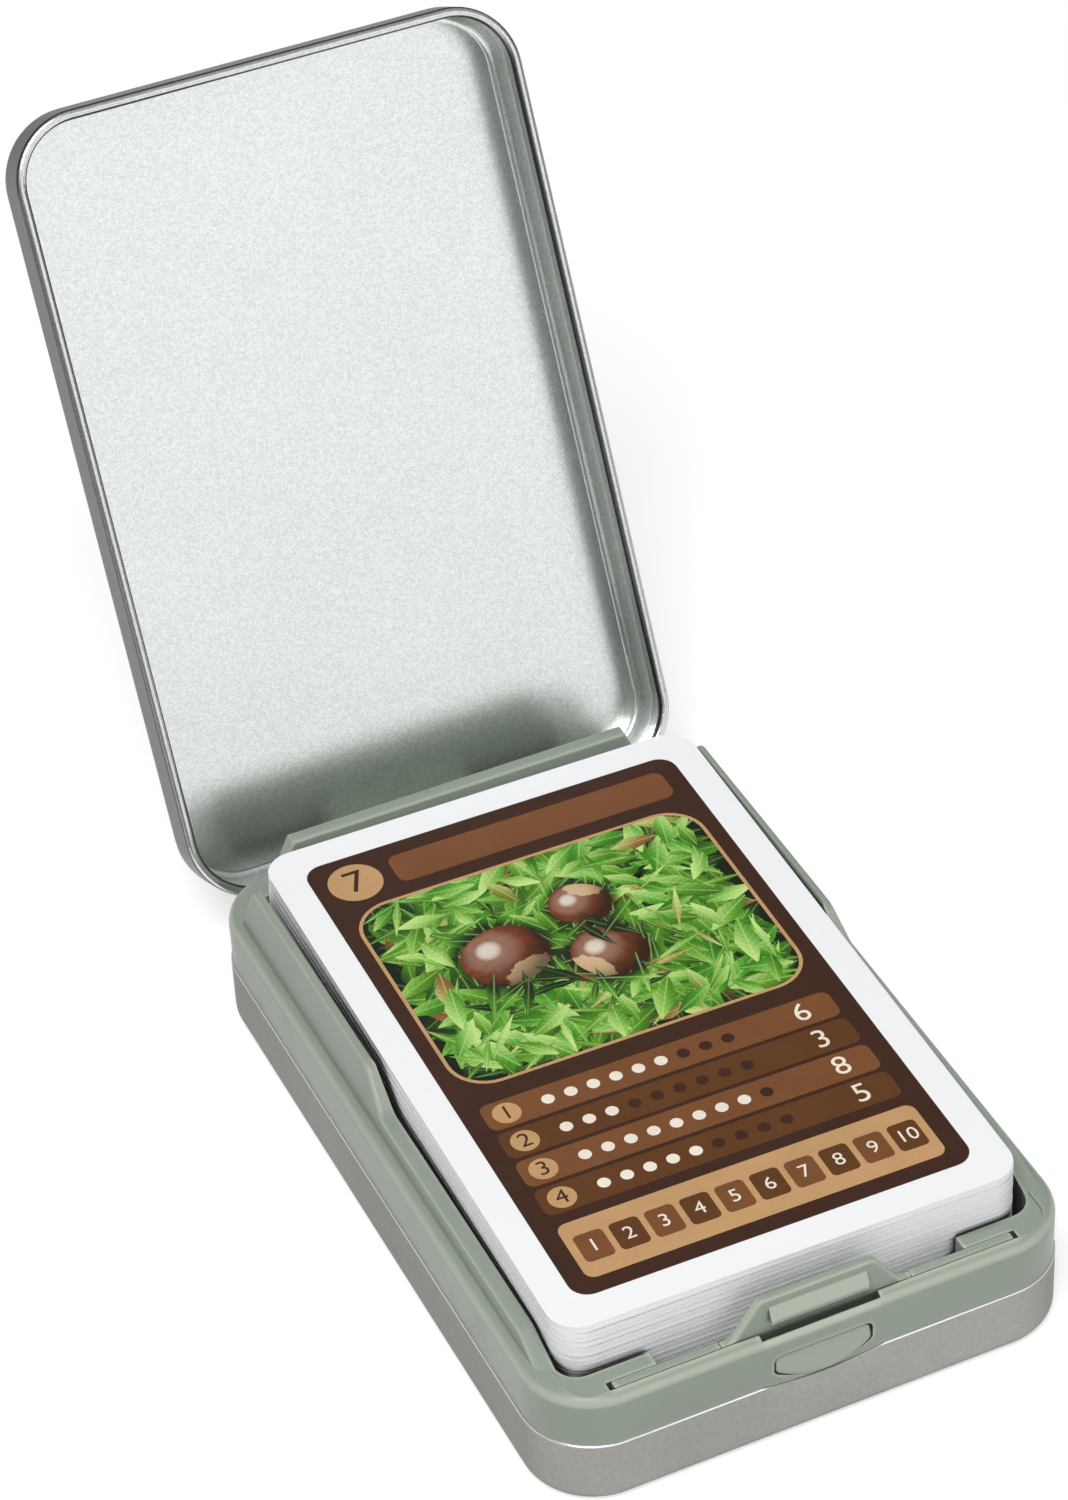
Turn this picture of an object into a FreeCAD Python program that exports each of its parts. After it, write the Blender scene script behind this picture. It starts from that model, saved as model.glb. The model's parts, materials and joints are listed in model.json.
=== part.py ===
"""Card game in a hinged tin.

A drawn tinplate base pan carries a moulded tray with a well for a deck of cards. A tinplate lid
turns on a wire pin in the tray's rear rail and is caught at the front by a spring latch, which a
button in the front wall releases. Millimetres, +X to the right along the hinge, front at -Y, +Z up,
origin at the middle of the underside. The lid stands open.
"""
import math
import os

import FreeCAD
import Part

V = FreeCAD.Vector
X_AXIS = V(1, 0, 0)
Y_AXIS = V(0, 1, 0)
Z_AXIS = V(0, 0, 1)
NEAR = 1e-4

# Tin
TIN_WIDTH = 72.0
TIN_LENGTH = 108.6
TIN_CORNER = 9.5
SHEET = 0.4
LEDGE_HEIGHT = 17.5
TRAY_BAND = 7.65
BASE_EDGE_RADIUS = 2.0
BASE_RIM_RADIUS = 0.2
BASE_DIP_DEPTH = 0.8
BASE_DIP_WIDTH = 17.0
LID_HEADROOM = 1.2
LID_EDGE_RADIUS = 3.2
LID_BEAD = 1.4
LID_BEAD_RADIUS = 0.62
LID_OPEN_ANGLE = 116.5

# Well for the cards
WELL_SIDE_RIM = 4.1
WELL_FRONT_RIM = 5.3
WELL_REAR_RIM = 5.45
WELL_CORNER = 3.0
PLATFORM_INSET = 1.7
PLATFORM_SIDE_INSET = 3.5
PLATFORM_CORNER = 3.6
PLATFORM_DEPTH = 0.2

# Cards, with the leaning and turning of the deck as shares of its play in the well
CARD_PLAY_SIDE = 0.9
CARD_PLAY_FRONT = 1.0
CARD_PLAY_REAR = 0.85
CARD_THICKNESS = 0.32
CARD_CORNER = 4.0
CARD_COUNT = 44
DECK_STAND = 7.1
SWING_BOTTOM = 0.23
SWING_TOP = 0.88
SLIP_BOTTOM = 0.1
SLIP_TOP = 0.7
RIFFLE_SLIP = 0.04
RIFFLE_SWING = 0.025
RIFFLE_STEP = 2.4
SHUFFLE_STEP = 1.7

# Tray moulding
SHOULDER_RADIUS = 1.6
WALL_INSET = 0.2
TRAY_WALL = 1.3
TRAY_FIT = 0.1
SKIRT_BOTTOM = 2.3
RIB_THICKNESS = 1.2
CROSS_RIBS = 3

# Collar and tabs of the tray
COLLAR_FOOT_INSET = 1.85
COLLAR_LEAN = 0.16
COLLAR_ROOT = 0.6
COLLAR_EDGE_RADIUS = 0.55
COLLAR_LIP = 0.3
LOW_COLLAR_RISE = 2.0
LOW_COLLAR_FRONT_FOOT = 8.3
LOW_COLLAR_FRONT_RAMP = 5.5
SIDE_TAB_BELOW_DECK = 0.6
SIDE_TAB_FRONT = 0.4
SIDE_TAB_FRONT_RAMP = 5.8
SIDE_TAB_REAR_FOOT = 8.2
SIDE_TAB_REAR_RAMP = 2.6
SIDE_TAB_REAR_RADIUS = 1.6
SIDE_RAMP_RADIUS = 3.2
BACK_TAB_BELOW_DECK = 0.1
BACK_TAB_END_INSET = 8.7
BACK_TAB_FLARE = 2.8
BACK_TAB_FOOT_INSET = 2.1
BACK_TAB_REAR_LEAN = 0.6
BACK_TAB_FRONT_LEAN = 0.8

# Latch and button
BAR_END_INSET = 9.0
BAR_THICKNESS = 1.3
BAR_HEIGHT = 3.8
BAR_INSET = 1.75
BAR_PLAY = 0.1
ARM_END_GAP = 0.6
ARM_SEAT = 6.2
TONGUE_FOOT = 22.8
TONGUE_TOP = 15.4
TONGUE_RISE = 5.3
TONGUE_EDGE_RADIUS = 0.5
TONGUE_CORNER = 1.6
TONGUE_FLARE_RADIUS = 2.0
TONGUE_BASE = 25.6
PADDLE_WIDTH = 15.0
PADDLE_DROP = 3.1
CATCH_LENGTH = 13.2
CATCH_REACH = 0.95
CATCH_HEIGHT = 2.3
CATCH_NOSE = 0.7
CATCH_CLEARANCE = 0.15
CATCH_EDGE_RADIUS = 0.3
NOTCH_WIDTH = 16.0
NOTCH_DEPTH = 1.3
NOTCH_FRONT_INSET = 0.75
RELIEF_WIDTH = 0.8
RELIEF_REACH = 0.6
BUTTON_LENGTH = 13.0
BUTTON_DROP = 3.5
BUTTON_RISE = 4.35
BUTTON_END_HEIGHT = 2.4
BUTTON_CORNER = 0.9
BUTTON_STAND = 0.75
BUTTON_SINK = 0.35
BUTTON_EDGE_RADIUS = 0.45
BUTTON_TRAVEL = 0.9
BUTTON_FIT = 0.2
BUTTON_FLANGE = 0.5
BUTTON_FLANGE_LIP = 0.5

# Hinge
PIN_DIAMETER = 1.5
PIN_SEAT = 0.6
PIN_FIT = 0.06
PIN_PRESS = 0.01
HINGE_DROP = 3.2
HINGE_TAB_WIDTH = 14.0
HINGE_TAB_INSET = 1.5
HINGE_TAB_PLAY = 0.4
HINGE_SWING_GAP = 0.3
HINGE_STOP_GAP = 0.12

# Values that follow from the sizes above
HALF_W = TIN_WIDTH / 2
HALF_L = TIN_LENGTH / 2
OVERSHOOT = TIN_WIDTH
BASE_HEIGHT = LEDGE_HEIGHT - TRAY_BAND
LID_DEPTH = DECK_STAND + LID_HEADROOM + SHEET
WELL_HALF = HALF_W - WELL_SIDE_RIM
WELL_FRONT = -HALF_L + WELL_FRONT_RIM
WELL_REAR = HALF_L - WELL_REAR_RIM
CARD_HALF = WELL_HALF - CARD_PLAY_SIDE
CARD_FRONT = WELL_FRONT + CARD_PLAY_FRONT
CARD_REAR = WELL_REAR - CARD_PLAY_REAR
DECK_TOP = LEDGE_HEIGHT + DECK_STAND
FLOOR_TOP = DECK_TOP - CARD_COUNT * CARD_THICKNESS
SIDE_TAB_RISE = DECK_STAND - SIDE_TAB_BELOW_DECK
BACK_TAB_RISE = DECK_STAND - BACK_TAB_BELOW_DECK
BACK_TAB_HALF_FOOT = HALF_W - BACK_TAB_END_INSET
BACK_TAB_HALF_TOP = BACK_TAB_HALF_FOOT - BACK_TAB_FLARE
COLLAR_FOOT = HALF_W - COLLAR_FOOT_INSET
BAR_HALF = HALF_W - BAR_END_INSET
BAR_FRONT = -HALF_L + BAR_INSET
BAR_BACK = BAR_FRONT + BAR_THICKNESS
BAR_BOTTOM = LEDGE_HEIGHT - BAR_HEIGHT
BUTTON_TOP = LEDGE_HEIGHT - BUTTON_DROP
PADDLE_BOTTOM = BUTTON_TOP - PADDLE_DROP
HINGE_TAB_MIDDLE = HALF_W - TIN_CORNER - HINGE_TAB_INSET - HINGE_TAB_WIDTH / 2
PIN_HALF = HINGE_TAB_MIDDLE + HINGE_TAB_WIDTH / 2 + HINGE_TAB_PLAY + PIN_SEAT
HINGE_HEIGHT = LEDGE_HEIGHT - HINGE_DROP
HINGE_Y = HALF_L - SHEET - PIN_FIT - PIN_DIAMETER / 2
KNUCKLE_RADIUS = HALF_L - HINGE_Y
HINGE_AXIS_POINT = V(0, HINGE_Y, HINGE_HEIGHT)
BEAD_TOP = LEDGE_HEIGHT + LID_BEAD


def outline(x0, x1, y0, y1, radius, z):
    """Closed wire of a rectangle with round corners, lying flat at height z."""
    quarter = radius * (1 - math.sqrt(0.5))
    corners = ((x1, y0, -1, 1), (x1, y1, -1, -1), (x0, y1, 1, -1), (x0, y0, 1, 1))
    edges = []
    for index, (cx, cy, sx, sy) in enumerate(corners):
        along_x = V(cx + sx * radius, cy, z)
        along_y = V(cx, cy + sy * radius, z)
        middle = V(cx + sx * quarter, cy + sy * quarter, z)
        start, end = (along_x, along_y) if index % 2 == 0 else (along_y, along_x)
        edges.append((start, middle, end))
    pieces = []
    for index, (start, middle, end) in enumerate(edges):
        pieces.append(Part.Arc(start, middle, end).toShape())
        following = edges[(index + 1) % len(edges)][0]
        pieces.append(Part.LineSegment(end, following).toShape())
    return Part.Wire(pieces)


def slab(x0, x1, y0, y1, radius, z0, z1):
    """Upright prism on a rectangle with round corners."""
    return Part.Face(outline(x0, x1, y0, y1, radius, z0)).extrude(V(0, 0, z1 - z0))


def tin_slab(inset, z0, z1):
    """Upright prism on the tin's own outline, drawn in by inset."""
    return slab(
        -HALF_W + inset, HALF_W - inset, -HALF_L + inset, HALF_L - inset, TIN_CORNER - inset, z0, z1
    )


def block(x0, x1, y0, y1, z0, z1):
    """Box between two corners."""
    return Part.makeBox(x1 - x0, y1 - y0, z1 - z0, V(x0, y0, z0))


def side_prism(points, x0, x1):
    """Prism along X on a profile of (y, z) points."""
    corners = [V(x0, y, z) for y, z in points]
    return Part.Face(Part.makePolygon(corners + corners[:1])).extrude(V(x1 - x0, 0, 0))


def front_prism(points, y0, y1):
    """Prism along Y on a profile of (x, z) points."""
    corners = [V(x, y0, z) for x, z in points]
    return Part.Face(Part.makePolygon(corners + corners[:1])).extrude(V(0, y1 - y0, 0))


def level_edges(shape, z):
    """Edges of a shape that lie at height z."""
    return [e for e in shape.Edges if abs(e.BoundBox.ZMin - z) < NEAR and abs(e.BoundBox.ZMax - z) < NEAR]


def inside_edges(shape, inset, z):
    """Edges at height z that keep at least inset away from the tin's outer faces."""
    found = []
    for edge in level_edges(shape, z):
        far_x = max(abs(vertex.X) for vertex in edge.Vertexes)
        far_y = max(abs(vertex.Y) for vertex in edge.Vertexes)
        if far_x < HALF_W - inset + NEAR and far_y < HALF_L - inset + NEAR:
            found.append(edge)
    return found


def cross_edges(shape, x, z):
    """Edges along Y at height z and at x on either side of the middle."""
    found = []
    for edge in shape.Edges:
        middle = edge.BoundBox.Center
        straight = edge.BoundBox.XLength < NEAR and edge.BoundBox.ZLength < NEAR
        if straight and abs(abs(middle.x) - x) < NEAR and abs(middle.z - z) < NEAR:
            found.append(edge)
    return found


def long_edges(shape, corner):
    """Edges along X at a (y, z) corner of a side profile."""
    found = []
    for edge in shape.Edges:
        middle = edge.BoundBox.Center
        if abs(middle.y - corner[0]) < NEAR and abs(middle.z - corner[1]) < NEAR:
            found.append(edge)
    return found


def mirrored(shape):
    """Copy on the other side of the middle plane across X."""
    return shape.mirror(V(0, 0, 0), X_AXIS)


def dip_cutter(depth):
    """Round bar across the front wall whose lowest line is depth below the base pan's edge."""
    half = BASE_DIP_WIDTH / 2
    radius = (half * half + BASE_DIP_DEPTH * BASE_DIP_DEPTH) / (2 * BASE_DIP_DEPTH)
    centre = V(0, -HALF_L - TRAY_WALL, BASE_HEIGHT - depth + radius)
    return Part.makeCylinder(radius, WELL_FRONT_RIM, centre, Y_AXIS)


def make_base_pan():
    """Drawn pan with a rounded bottom edge and a dip in its front edge below the button."""
    outer = tin_slab(0, 0, BASE_HEIGHT)
    outer = outer.makeFillet(BASE_EDGE_RADIUS, level_edges(outer, 0))
    outer = outer.makeFillet(BASE_RIM_RADIUS, level_edges(outer, BASE_HEIGHT))
    inner = tin_slab(SHEET, SHEET, BASE_HEIGHT + OVERSHOOT)
    inner = inner.makeFillet(BASE_EDGE_RADIUS - SHEET, level_edges(inner, SHEET))
    return outer.cut(inner).cut(dip_cutter(BASE_DIP_DEPTH))


def soften(shape, foot, inner_x):
    """Round the edges of a tab, apart from those of its foot and of the face towards the well."""
    chosen = []
    for edge in shape.Edges:
        box = edge.BoundBox
        if box.ZMin > foot + NEAR and box.XMax > inner_x + NEAR:
            chosen.append(edge)
    return shape.makeFillet(COLLAR_EDGE_RADIUS, chosen)


def side_collar():
    """Right-hand wall beside the well: a low collar whose edge runs in a smooth S up to a tall tab."""
    foot = LEDGE_HEIGHT - COLLAR_ROOT
    low = LEDGE_HEIGHT + LOW_COLLAR_RISE
    tall = LEDGE_HEIGHT + SIDE_TAB_RISE
    front = -HALF_L + LOW_COLLAR_FRONT_FOOT
    slope = LOW_COLLAR_FRONT_RAMP / LOW_COLLAR_RISE
    rear = HALF_L - SIDE_TAB_REAR_FOOT
    profile = (
        (front - COLLAR_ROOT * slope, foot), (front + LOW_COLLAR_FRONT_RAMP, low), (SIDE_TAB_FRONT, low),
        (SIDE_TAB_FRONT + SIDE_TAB_FRONT_RAMP, tall), (rear - SIDE_TAB_REAR_RAMP, tall), (rear, foot),
    )
    sheet = side_prism(profile, WELL_HALF, HALF_W)
    for corner in profile[1:4]:
        sheet = sheet.makeFillet(SIDE_RAMP_RADIUS, long_edges(sheet, corner))
    sheet = sheet.makeFillet(SIDE_TAB_REAR_RADIUS, long_edges(sheet, profile[4]))
    section = (
        (WELL_HALF, foot),
        (COLLAR_FOOT + COLLAR_ROOT * COLLAR_LEAN, foot),
        (COLLAR_FOOT - SIDE_TAB_RISE * COLLAR_LEAN, tall),
        (WELL_HALF + COLLAR_LIP, tall),
        (WELL_HALF, tall - COLLAR_LIP),
    )
    wall = front_prism(section, -HALF_L, HALF_L).common(sheet)
    return soften(wall, foot, WELL_HALF + COLLAR_LIP)


def make_collars():
    """Side collars with their tall tabs and the back tab, which stand on the ledge round the well."""
    wall = side_collar()
    pieces = [wall, mirrored(wall)]
    foot = LEDGE_HEIGHT - COLLAR_ROOT
    top = LEDGE_HEIGHT + BACK_TAB_RISE
    half_foot = BACK_TAB_HALF_FOOT + BACK_TAB_FLARE / BACK_TAB_RISE * COLLAR_ROOT
    face = (
        (-half_foot, foot), (half_foot, foot), (BACK_TAB_HALF_TOP, top), (-BACK_TAB_HALF_TOP, top),
    )
    heel = HALF_L - BACK_TAB_FOOT_INSET
    depth = (
        (WELL_REAR, foot), (heel, foot), (heel - BACK_TAB_REAR_LEAN, top),
        (WELL_REAR + BACK_TAB_FRONT_LEAN, top),
    )
    back = front_prism(face, WELL_REAR - TRAY_WALL, HALF_L)
    back = back.common(side_prism(depth, -HALF_W, HALF_W))
    pieces.append(soften(back, foot, -HALF_W))
    return pieces


def lens(grow, y0, y1):
    """Prism on the button's outline: flat top, bowed underside, short upright ends with round corners."""
    half = BUTTON_LENGTH / 2 + grow
    top = BUTTON_TOP + grow
    end = BUTTON_TOP - BUTTON_END_HEIGHT - grow
    low = BUTTON_TOP - BUTTON_RISE - grow
    corners = (V(-half, y0, end), V(-half, y0, top), V(half, y0, top), V(half, y0, end))
    edges = [Part.LineSegment(a, b).toShape() for a, b in zip(corners, corners[1:])]
    edges.append(Part.Arc(corners[3], V(0, y0, low), corners[0]).toShape())
    body = Part.Face(Part.Wire(edges)).extrude(V(0, y1 - y0, 0))
    return body.makeFillet(BUTTON_CORNER + grow, cross_edges(body, half, top) + cross_edges(body, half, end))


def hinge_notch(middle):
    """Room for one hinge tab: a slot in the rear wall whose sloped floor stops the open lid."""
    half = HINGE_TAB_WIDTH / 2 + HINGE_TAB_PLAY
    swing = KNUCKLE_RADIUS + HINGE_SWING_GAP
    angle = math.radians(LID_OPEN_ANGLE)
    away = (math.sin(angle), math.cos(angle))
    under = (math.cos(angle), -math.sin(angle))
    reach = KNUCKLE_RADIUS + HINGE_STOP_GAP
    heel = (HINGE_Y + under[0] * reach, HINGE_HEIGHT + under[1] * reach)
    run = TIN_CORNER
    lip = (heel[0] + away[0] * run, heel[1] + away[1] * run)
    profile = (
        (HINGE_Y - swing, heel[1]), heel, lip, (lip[0], BEAD_TOP), (HINGE_Y - swing, BEAD_TOP),
    )
    return side_prism(profile, middle - half, middle + half)


def make_tray():
    """Moulded insert: skirt inside the pan, wall on the pan's rim, ledge, well, collars and slots."""
    upper = tin_slab(WALL_INSET, BASE_HEIGHT, LEDGE_HEIGHT)
    upper = upper.makeFillet(SHOULDER_RADIUS, level_edges(upper, LEDGE_HEIGHT))
    drop = tin_slab(WALL_INSET, BASE_HEIGHT - BASE_DIP_DEPTH, BASE_HEIGHT)
    upper = upper.fuse(drop.common(dip_cutter(BASE_DIP_DEPTH)))
    skirt = tin_slab(SHEET + TRAY_FIT, SKIRT_BOTTOM, BASE_HEIGHT)
    tray = upper.fuse(skirt)
    under_floor = FLOOR_TOP - TRAY_WALL
    tray = tray.cut(tin_slab(SHEET + TRAY_FIT + TRAY_WALL, 0, under_floor))
    for index in range(CROSS_RIBS):
        y = (index + 1) * TIN_LENGTH / (CROSS_RIBS + 1) - HALF_L
        rib = block(
            -HALF_W + SHEET + TRAY_WALL, HALF_W - SHEET - TRAY_WALL,
            y - RIB_THICKNESS / 2, y + RIB_THICKNESS / 2, BASE_EDGE_RADIUS, under_floor,
        )
        foot = block(
            -HALF_W + TIN_CORNER, HALF_W - TIN_CORNER,
            y - RIB_THICKNESS / 2, y + RIB_THICKNESS / 2, SHEET, BASE_EDGE_RADIUS,
        )
        tray = tray.fuse(rib.fuse(foot))
    platform = slab(
        -HALF_W + PLATFORM_SIDE_INSET, HALF_W - PLATFORM_SIDE_INSET, -HALF_L + PLATFORM_INSET,
        WELL_REAR, PLATFORM_CORNER, LEDGE_HEIGHT - PLATFORM_DEPTH, LEDGE_HEIGHT + OVERSHOOT,
    )
    tray = tray.cut(platform)
    for wall in make_collars():
        tray = tray.fuse(wall)
    well = slab(
        -WELL_HALF, WELL_HALF, WELL_FRONT, WELL_REAR, WELL_CORNER, FLOOR_TOP, FLOOR_TOP + OVERSHOOT
    )
    tray = tray.cut(well)
    return cut_hinge(cut_latch(tray)).removeSplitter()


def cut_latch(tray):
    """Slot for the spring bar, room behind it, notch with relief holes for the bead, button's window."""
    above = LEDGE_HEIGHT + OVERSHOOT
    half_bar = BAR_HALF + ARM_END_GAP
    half_relief = BAR_HALF - ARM_SEAT
    half_paddle = PADDLE_WIDTH / 2 + BAR_PLAY
    half_notch = NOTCH_WIDTH / 2
    slot_front = BAR_FRONT - BAR_PLAY
    slot_back = BAR_BACK + BAR_PLAY
    flange = BUTTON_FLANGE + BAR_PLAY
    tray = tray.cut(block(-half_bar, half_bar, slot_front, slot_back, BAR_BOTTOM - BAR_PLAY, above))
    tray = tray.cut(
        block(-half_relief, half_relief, slot_front, WELL_FRONT, BAR_BOTTOM - BAR_PLAY, above)
    )
    tray = tray.cut(
        block(-half_paddle, half_paddle, slot_front, WELL_FRONT, PADDLE_BOTTOM - BAR_PLAY, above)
    )
    tray = tray.cut(
        block(
            -half_notch, half_notch, -HALF_L + NOTCH_FRONT_INSET, slot_back,
            LEDGE_HEIGHT - NOTCH_DEPTH, above,
        )
    )
    for x0 in (-half_notch, half_notch - RELIEF_WIDTH):
        tray = tray.cut(
            block(x0, x0 + RELIEF_WIDTH, slot_front - RELIEF_REACH, slot_back, BAR_BOTTOM - BAR_PLAY, above)
        )
    tray = tray.cut(lens(BUTTON_FIT, -HALF_L - TRAY_WALL, slot_back))
    return tray.cut(lens(BUTTON_FLANGE_LIP + BUTTON_FIT, slot_front - flange, slot_back + BUTTON_TRAVEL))


def cut_hinge(tray):
    """Notches for the lid's tabs and the bore that holds the pin between them."""
    for side in (-1, 1):
        tray = tray.cut(hinge_notch(side * HINGE_TAB_MIDDLE))
    return tray.cut(hinge_rod(PIN_DIAMETER / 2 + PIN_PRESS))


def hinge_rod(radius):
    """Rod on the hinge axis, as long as the pin that is pressed into the rear rail."""
    return Part.makeCylinder(radius, 2 * PIN_HALF, V(-PIN_HALF, HINGE_Y, HINGE_HEIGHT), X_AXIS)


def hinge_tab(middle):
    """Tongue of lid sheet that runs down from the rear wall and is rolled round the pin."""
    x0 = middle - HINGE_TAB_WIDTH / 2
    start = V(x0, HINGE_Y, HINGE_HEIGHT)
    strap = block(
        x0, x0 + HINGE_TAB_WIDTH, HALF_L - SHEET, HALF_L, HINGE_HEIGHT, LEDGE_HEIGHT + LID_BEAD
    )
    roll = Part.makeCylinder(KNUCKLE_RADIUS, HINGE_TAB_WIDTH, start, X_AXIS)
    eye = Part.makeCylinder(PIN_DIAMETER / 2 + PIN_FIT, HINGE_TAB_WIDTH, start, X_AXIS)
    return strap.fuse(roll).cut(eye)


def make_lid():
    """Drawn lid with an inward bead round its rim and two rolled hinge tabs, turned open."""
    rim = LEDGE_HEIGHT
    top = rim + LID_DEPTH
    middle = rim + LID_BEAD / 2
    shell = tin_slab(0, middle, top)
    shell = shell.makeFillet(LID_EDGE_RADIUS, level_edges(shell, top))
    hollow = tin_slab(SHEET, rim - SHEET, top - SHEET)
    hollow = hollow.makeFillet(LID_EDGE_RADIUS - SHEET, level_edges(hollow, top - SHEET))
    bead = tin_slab(0, rim, BEAD_TOP).cut(tin_slab(LID_BEAD, rim - SHEET, BEAD_TOP + SHEET))
    rounded = level_edges(bead, rim) + inside_edges(bead, LID_BEAD, BEAD_TOP)
    bead = bead.makeFillet(LID_BEAD_RADIUS, rounded)
    lid = shell.cut(hollow).fuse(bead)
    for side in (-1, 1):
        lid = lid.fuse(hinge_tab(side * HINGE_TAB_MIDDLE))
    lid = lid.removeSplitter()
    lid.rotate(HINGE_AXIS_POINT, X_AXIS, -LID_OPEN_ANGLE)
    return lid


def make_tongue():
    """Middle of the latch: a paddle behind the button, a trapezoid tongue and a wedge catch."""
    top = LEDGE_HEIGHT + TONGUE_RISE
    half_base = TONGUE_BASE / 2
    half_foot = TONGUE_FOOT / 2
    half_top = TONGUE_TOP / 2
    half_paddle = PADDLE_WIDTH / 2
    right = (
        (half_paddle, PADDLE_BOTTOM), (half_paddle, BAR_BOTTOM), (half_base, BAR_BOTTOM),
        (half_base, LEDGE_HEIGHT), (half_foot, LEDGE_HEIGHT), (half_top, top),
    )
    left = tuple((-x, z) for x, z in reversed(right))
    plate = front_prism(right + left, BAR_FRONT, BAR_BACK)
    plate = plate.makeFillet(TONGUE_FLARE_RADIUS, cross_edges(plate, half_foot, LEDGE_HEIGHT))
    plate = plate.makeFillet(TONGUE_CORNER, cross_edges(plate, half_top, top))
    rim = [e for e in plate.Edges if e.BoundBox.YLength < NEAR and e.BoundBox.ZMax > LEDGE_HEIGHT + NEAR]
    rim = [e for e in rim if e.BoundBox.ZMin > LEDGE_HEIGHT - NEAR]
    plate = plate.makeFillet(TONGUE_EDGE_RADIUS, rim)
    low = BEAD_TOP + CATCH_CLEARANCE
    nose = BAR_FRONT - CATCH_REACH
    wedge = side_prism(
        (
            (BAR_BACK - TONGUE_EDGE_RADIUS, low), (nose, low), (nose, low + CATCH_NOSE),
            (BAR_FRONT, low + CATCH_HEIGHT), (BAR_BACK - TONGUE_EDGE_RADIUS, low + CATCH_HEIGHT),
        ),
        -CATCH_LENGTH / 2, CATCH_LENGTH / 2,
    )
    tip = [e for e in wedge.Edges if e.BoundBox.YMax < nose + NEAR]
    wedge = wedge.makeFillet(CATCH_EDGE_RADIUS, tip)
    return plate.fuse(wedge).removeSplitter()


def make_arm():
    """Right-hand spring arm of the latch, from the tongue to the end of the slot."""
    return block(TONGUE_BASE / 2, BAR_HALF, BAR_FRONT, BAR_BACK, BAR_BOTTOM, LEDGE_HEIGHT)


def make_button():
    """Lens-shaped button whose rounded face leans out to its lower edge, with a flange behind the wall."""
    wall = -HALF_L + WALL_INSET
    face = wall - BUTTON_STAND
    sunk = wall + BUTTON_SINK
    low = BUTTON_TOP - BUTTON_RISE
    margin = TRAY_WALL
    lean = (sunk - face) / BUTTON_RISE * margin
    ahead = (
        (face - lean, low - margin), (sunk + lean, BUTTON_TOP + margin), (face - margin, BUTTON_TOP + margin),
        (face - margin, low - margin),
    )
    shank = lens(0, face, BAR_FRONT).cut(side_prism(ahead, -HALF_W, HALF_W))
    pad = min(shank.Faces, key=lambda item: item.CenterOfMass.y)
    shank = shank.makeFillet(BUTTON_EDGE_RADIUS, pad.Edges)
    flange = lens(BUTTON_FLANGE_LIP, BAR_FRONT - BUTTON_FLANGE, BAR_FRONT)
    return shank.fuse(flange).removeSplitter()


def make_card(index):
    """One card of the deck; the stack leans forward and turns a little towards its top."""
    height = index / (CARD_COUNT - 1)
    riffle = math.sin(index * RIFFLE_STEP)
    shuffle = math.sin(index * SHUFFLE_STEP)
    swing = SWING_BOTTOM + (SWING_TOP - SWING_BOTTOM) * height + RIFFLE_SWING * riffle
    slip = SLIP_BOTTOM + (SLIP_TOP - SLIP_BOTTOM) * height - RIFFLE_SLIP * riffle
    middle = (CARD_FRONT + CARD_REAR) / 2
    lever = (CARD_REAR - CARD_FRONT) / 2
    low = FLOOR_TOP + index * CARD_THICKNESS
    card = slab(
        -CARD_HALF, CARD_HALF, CARD_FRONT, CARD_REAR, CARD_CORNER, low, low + CARD_THICKNESS
    )
    turn = -math.degrees(math.asin(swing * CARD_PLAY_SIDE / lever))
    card.rotate(V(0, middle, 0), Z_AXIS, turn)
    card.translate(V(RIFFLE_SLIP * CARD_PLAY_SIDE * shuffle, -slip * CARD_PLAY_FRONT, 0))
    return card


def main():
    arm = make_arm()
    parts = {
        "base_pan": make_base_pan(),
        "tray_insert": make_tray(),
        "hinge_pin": hinge_rod(PIN_DIAMETER / 2),
        "lid_pan": make_lid(),
        "latch_tongue": make_tongue(),
        "latch_arm_right": arm,
        "latch_arm_left": mirrored(arm),
        "release_button": make_button(),
    }
    for index in range(CARD_COUNT):
        parts["card_%02d" % (index + 1)] = make_card(index)
    os.makedirs("parts", exist_ok=True)
    for name, shape in parts.items():
        shape.exportStep("parts/%s.step" % name)


main()
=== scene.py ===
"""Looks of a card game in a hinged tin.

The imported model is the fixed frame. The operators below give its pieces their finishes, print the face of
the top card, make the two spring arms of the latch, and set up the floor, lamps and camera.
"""
import json
import math

import bmesh
import bpy
from bpy.props import FloatProperty, FloatVectorProperty, IntProperty, PointerProperty
from bpy.types import Operator, Panel, PropertyGroup
from mathutils import Matrix, Vector


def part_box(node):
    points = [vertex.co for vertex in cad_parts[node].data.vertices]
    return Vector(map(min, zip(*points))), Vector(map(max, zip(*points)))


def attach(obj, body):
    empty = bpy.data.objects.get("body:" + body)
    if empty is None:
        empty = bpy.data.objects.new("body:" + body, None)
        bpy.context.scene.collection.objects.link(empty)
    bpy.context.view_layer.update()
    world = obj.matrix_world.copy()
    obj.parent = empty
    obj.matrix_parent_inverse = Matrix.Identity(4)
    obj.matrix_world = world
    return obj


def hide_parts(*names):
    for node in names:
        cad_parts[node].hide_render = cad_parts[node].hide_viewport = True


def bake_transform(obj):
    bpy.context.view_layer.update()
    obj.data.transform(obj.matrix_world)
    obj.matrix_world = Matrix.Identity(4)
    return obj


bl_info = {
    "name": "Card Tin",
    "version": (1, 0, 0),
    "blender": (4, 5, 0),
    "location": "3D View > Sidebar > Card Tin",
    "description": "Finishes, printed card and stage for a card game in a hinged tin",
    "category": "Object",
}

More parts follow.
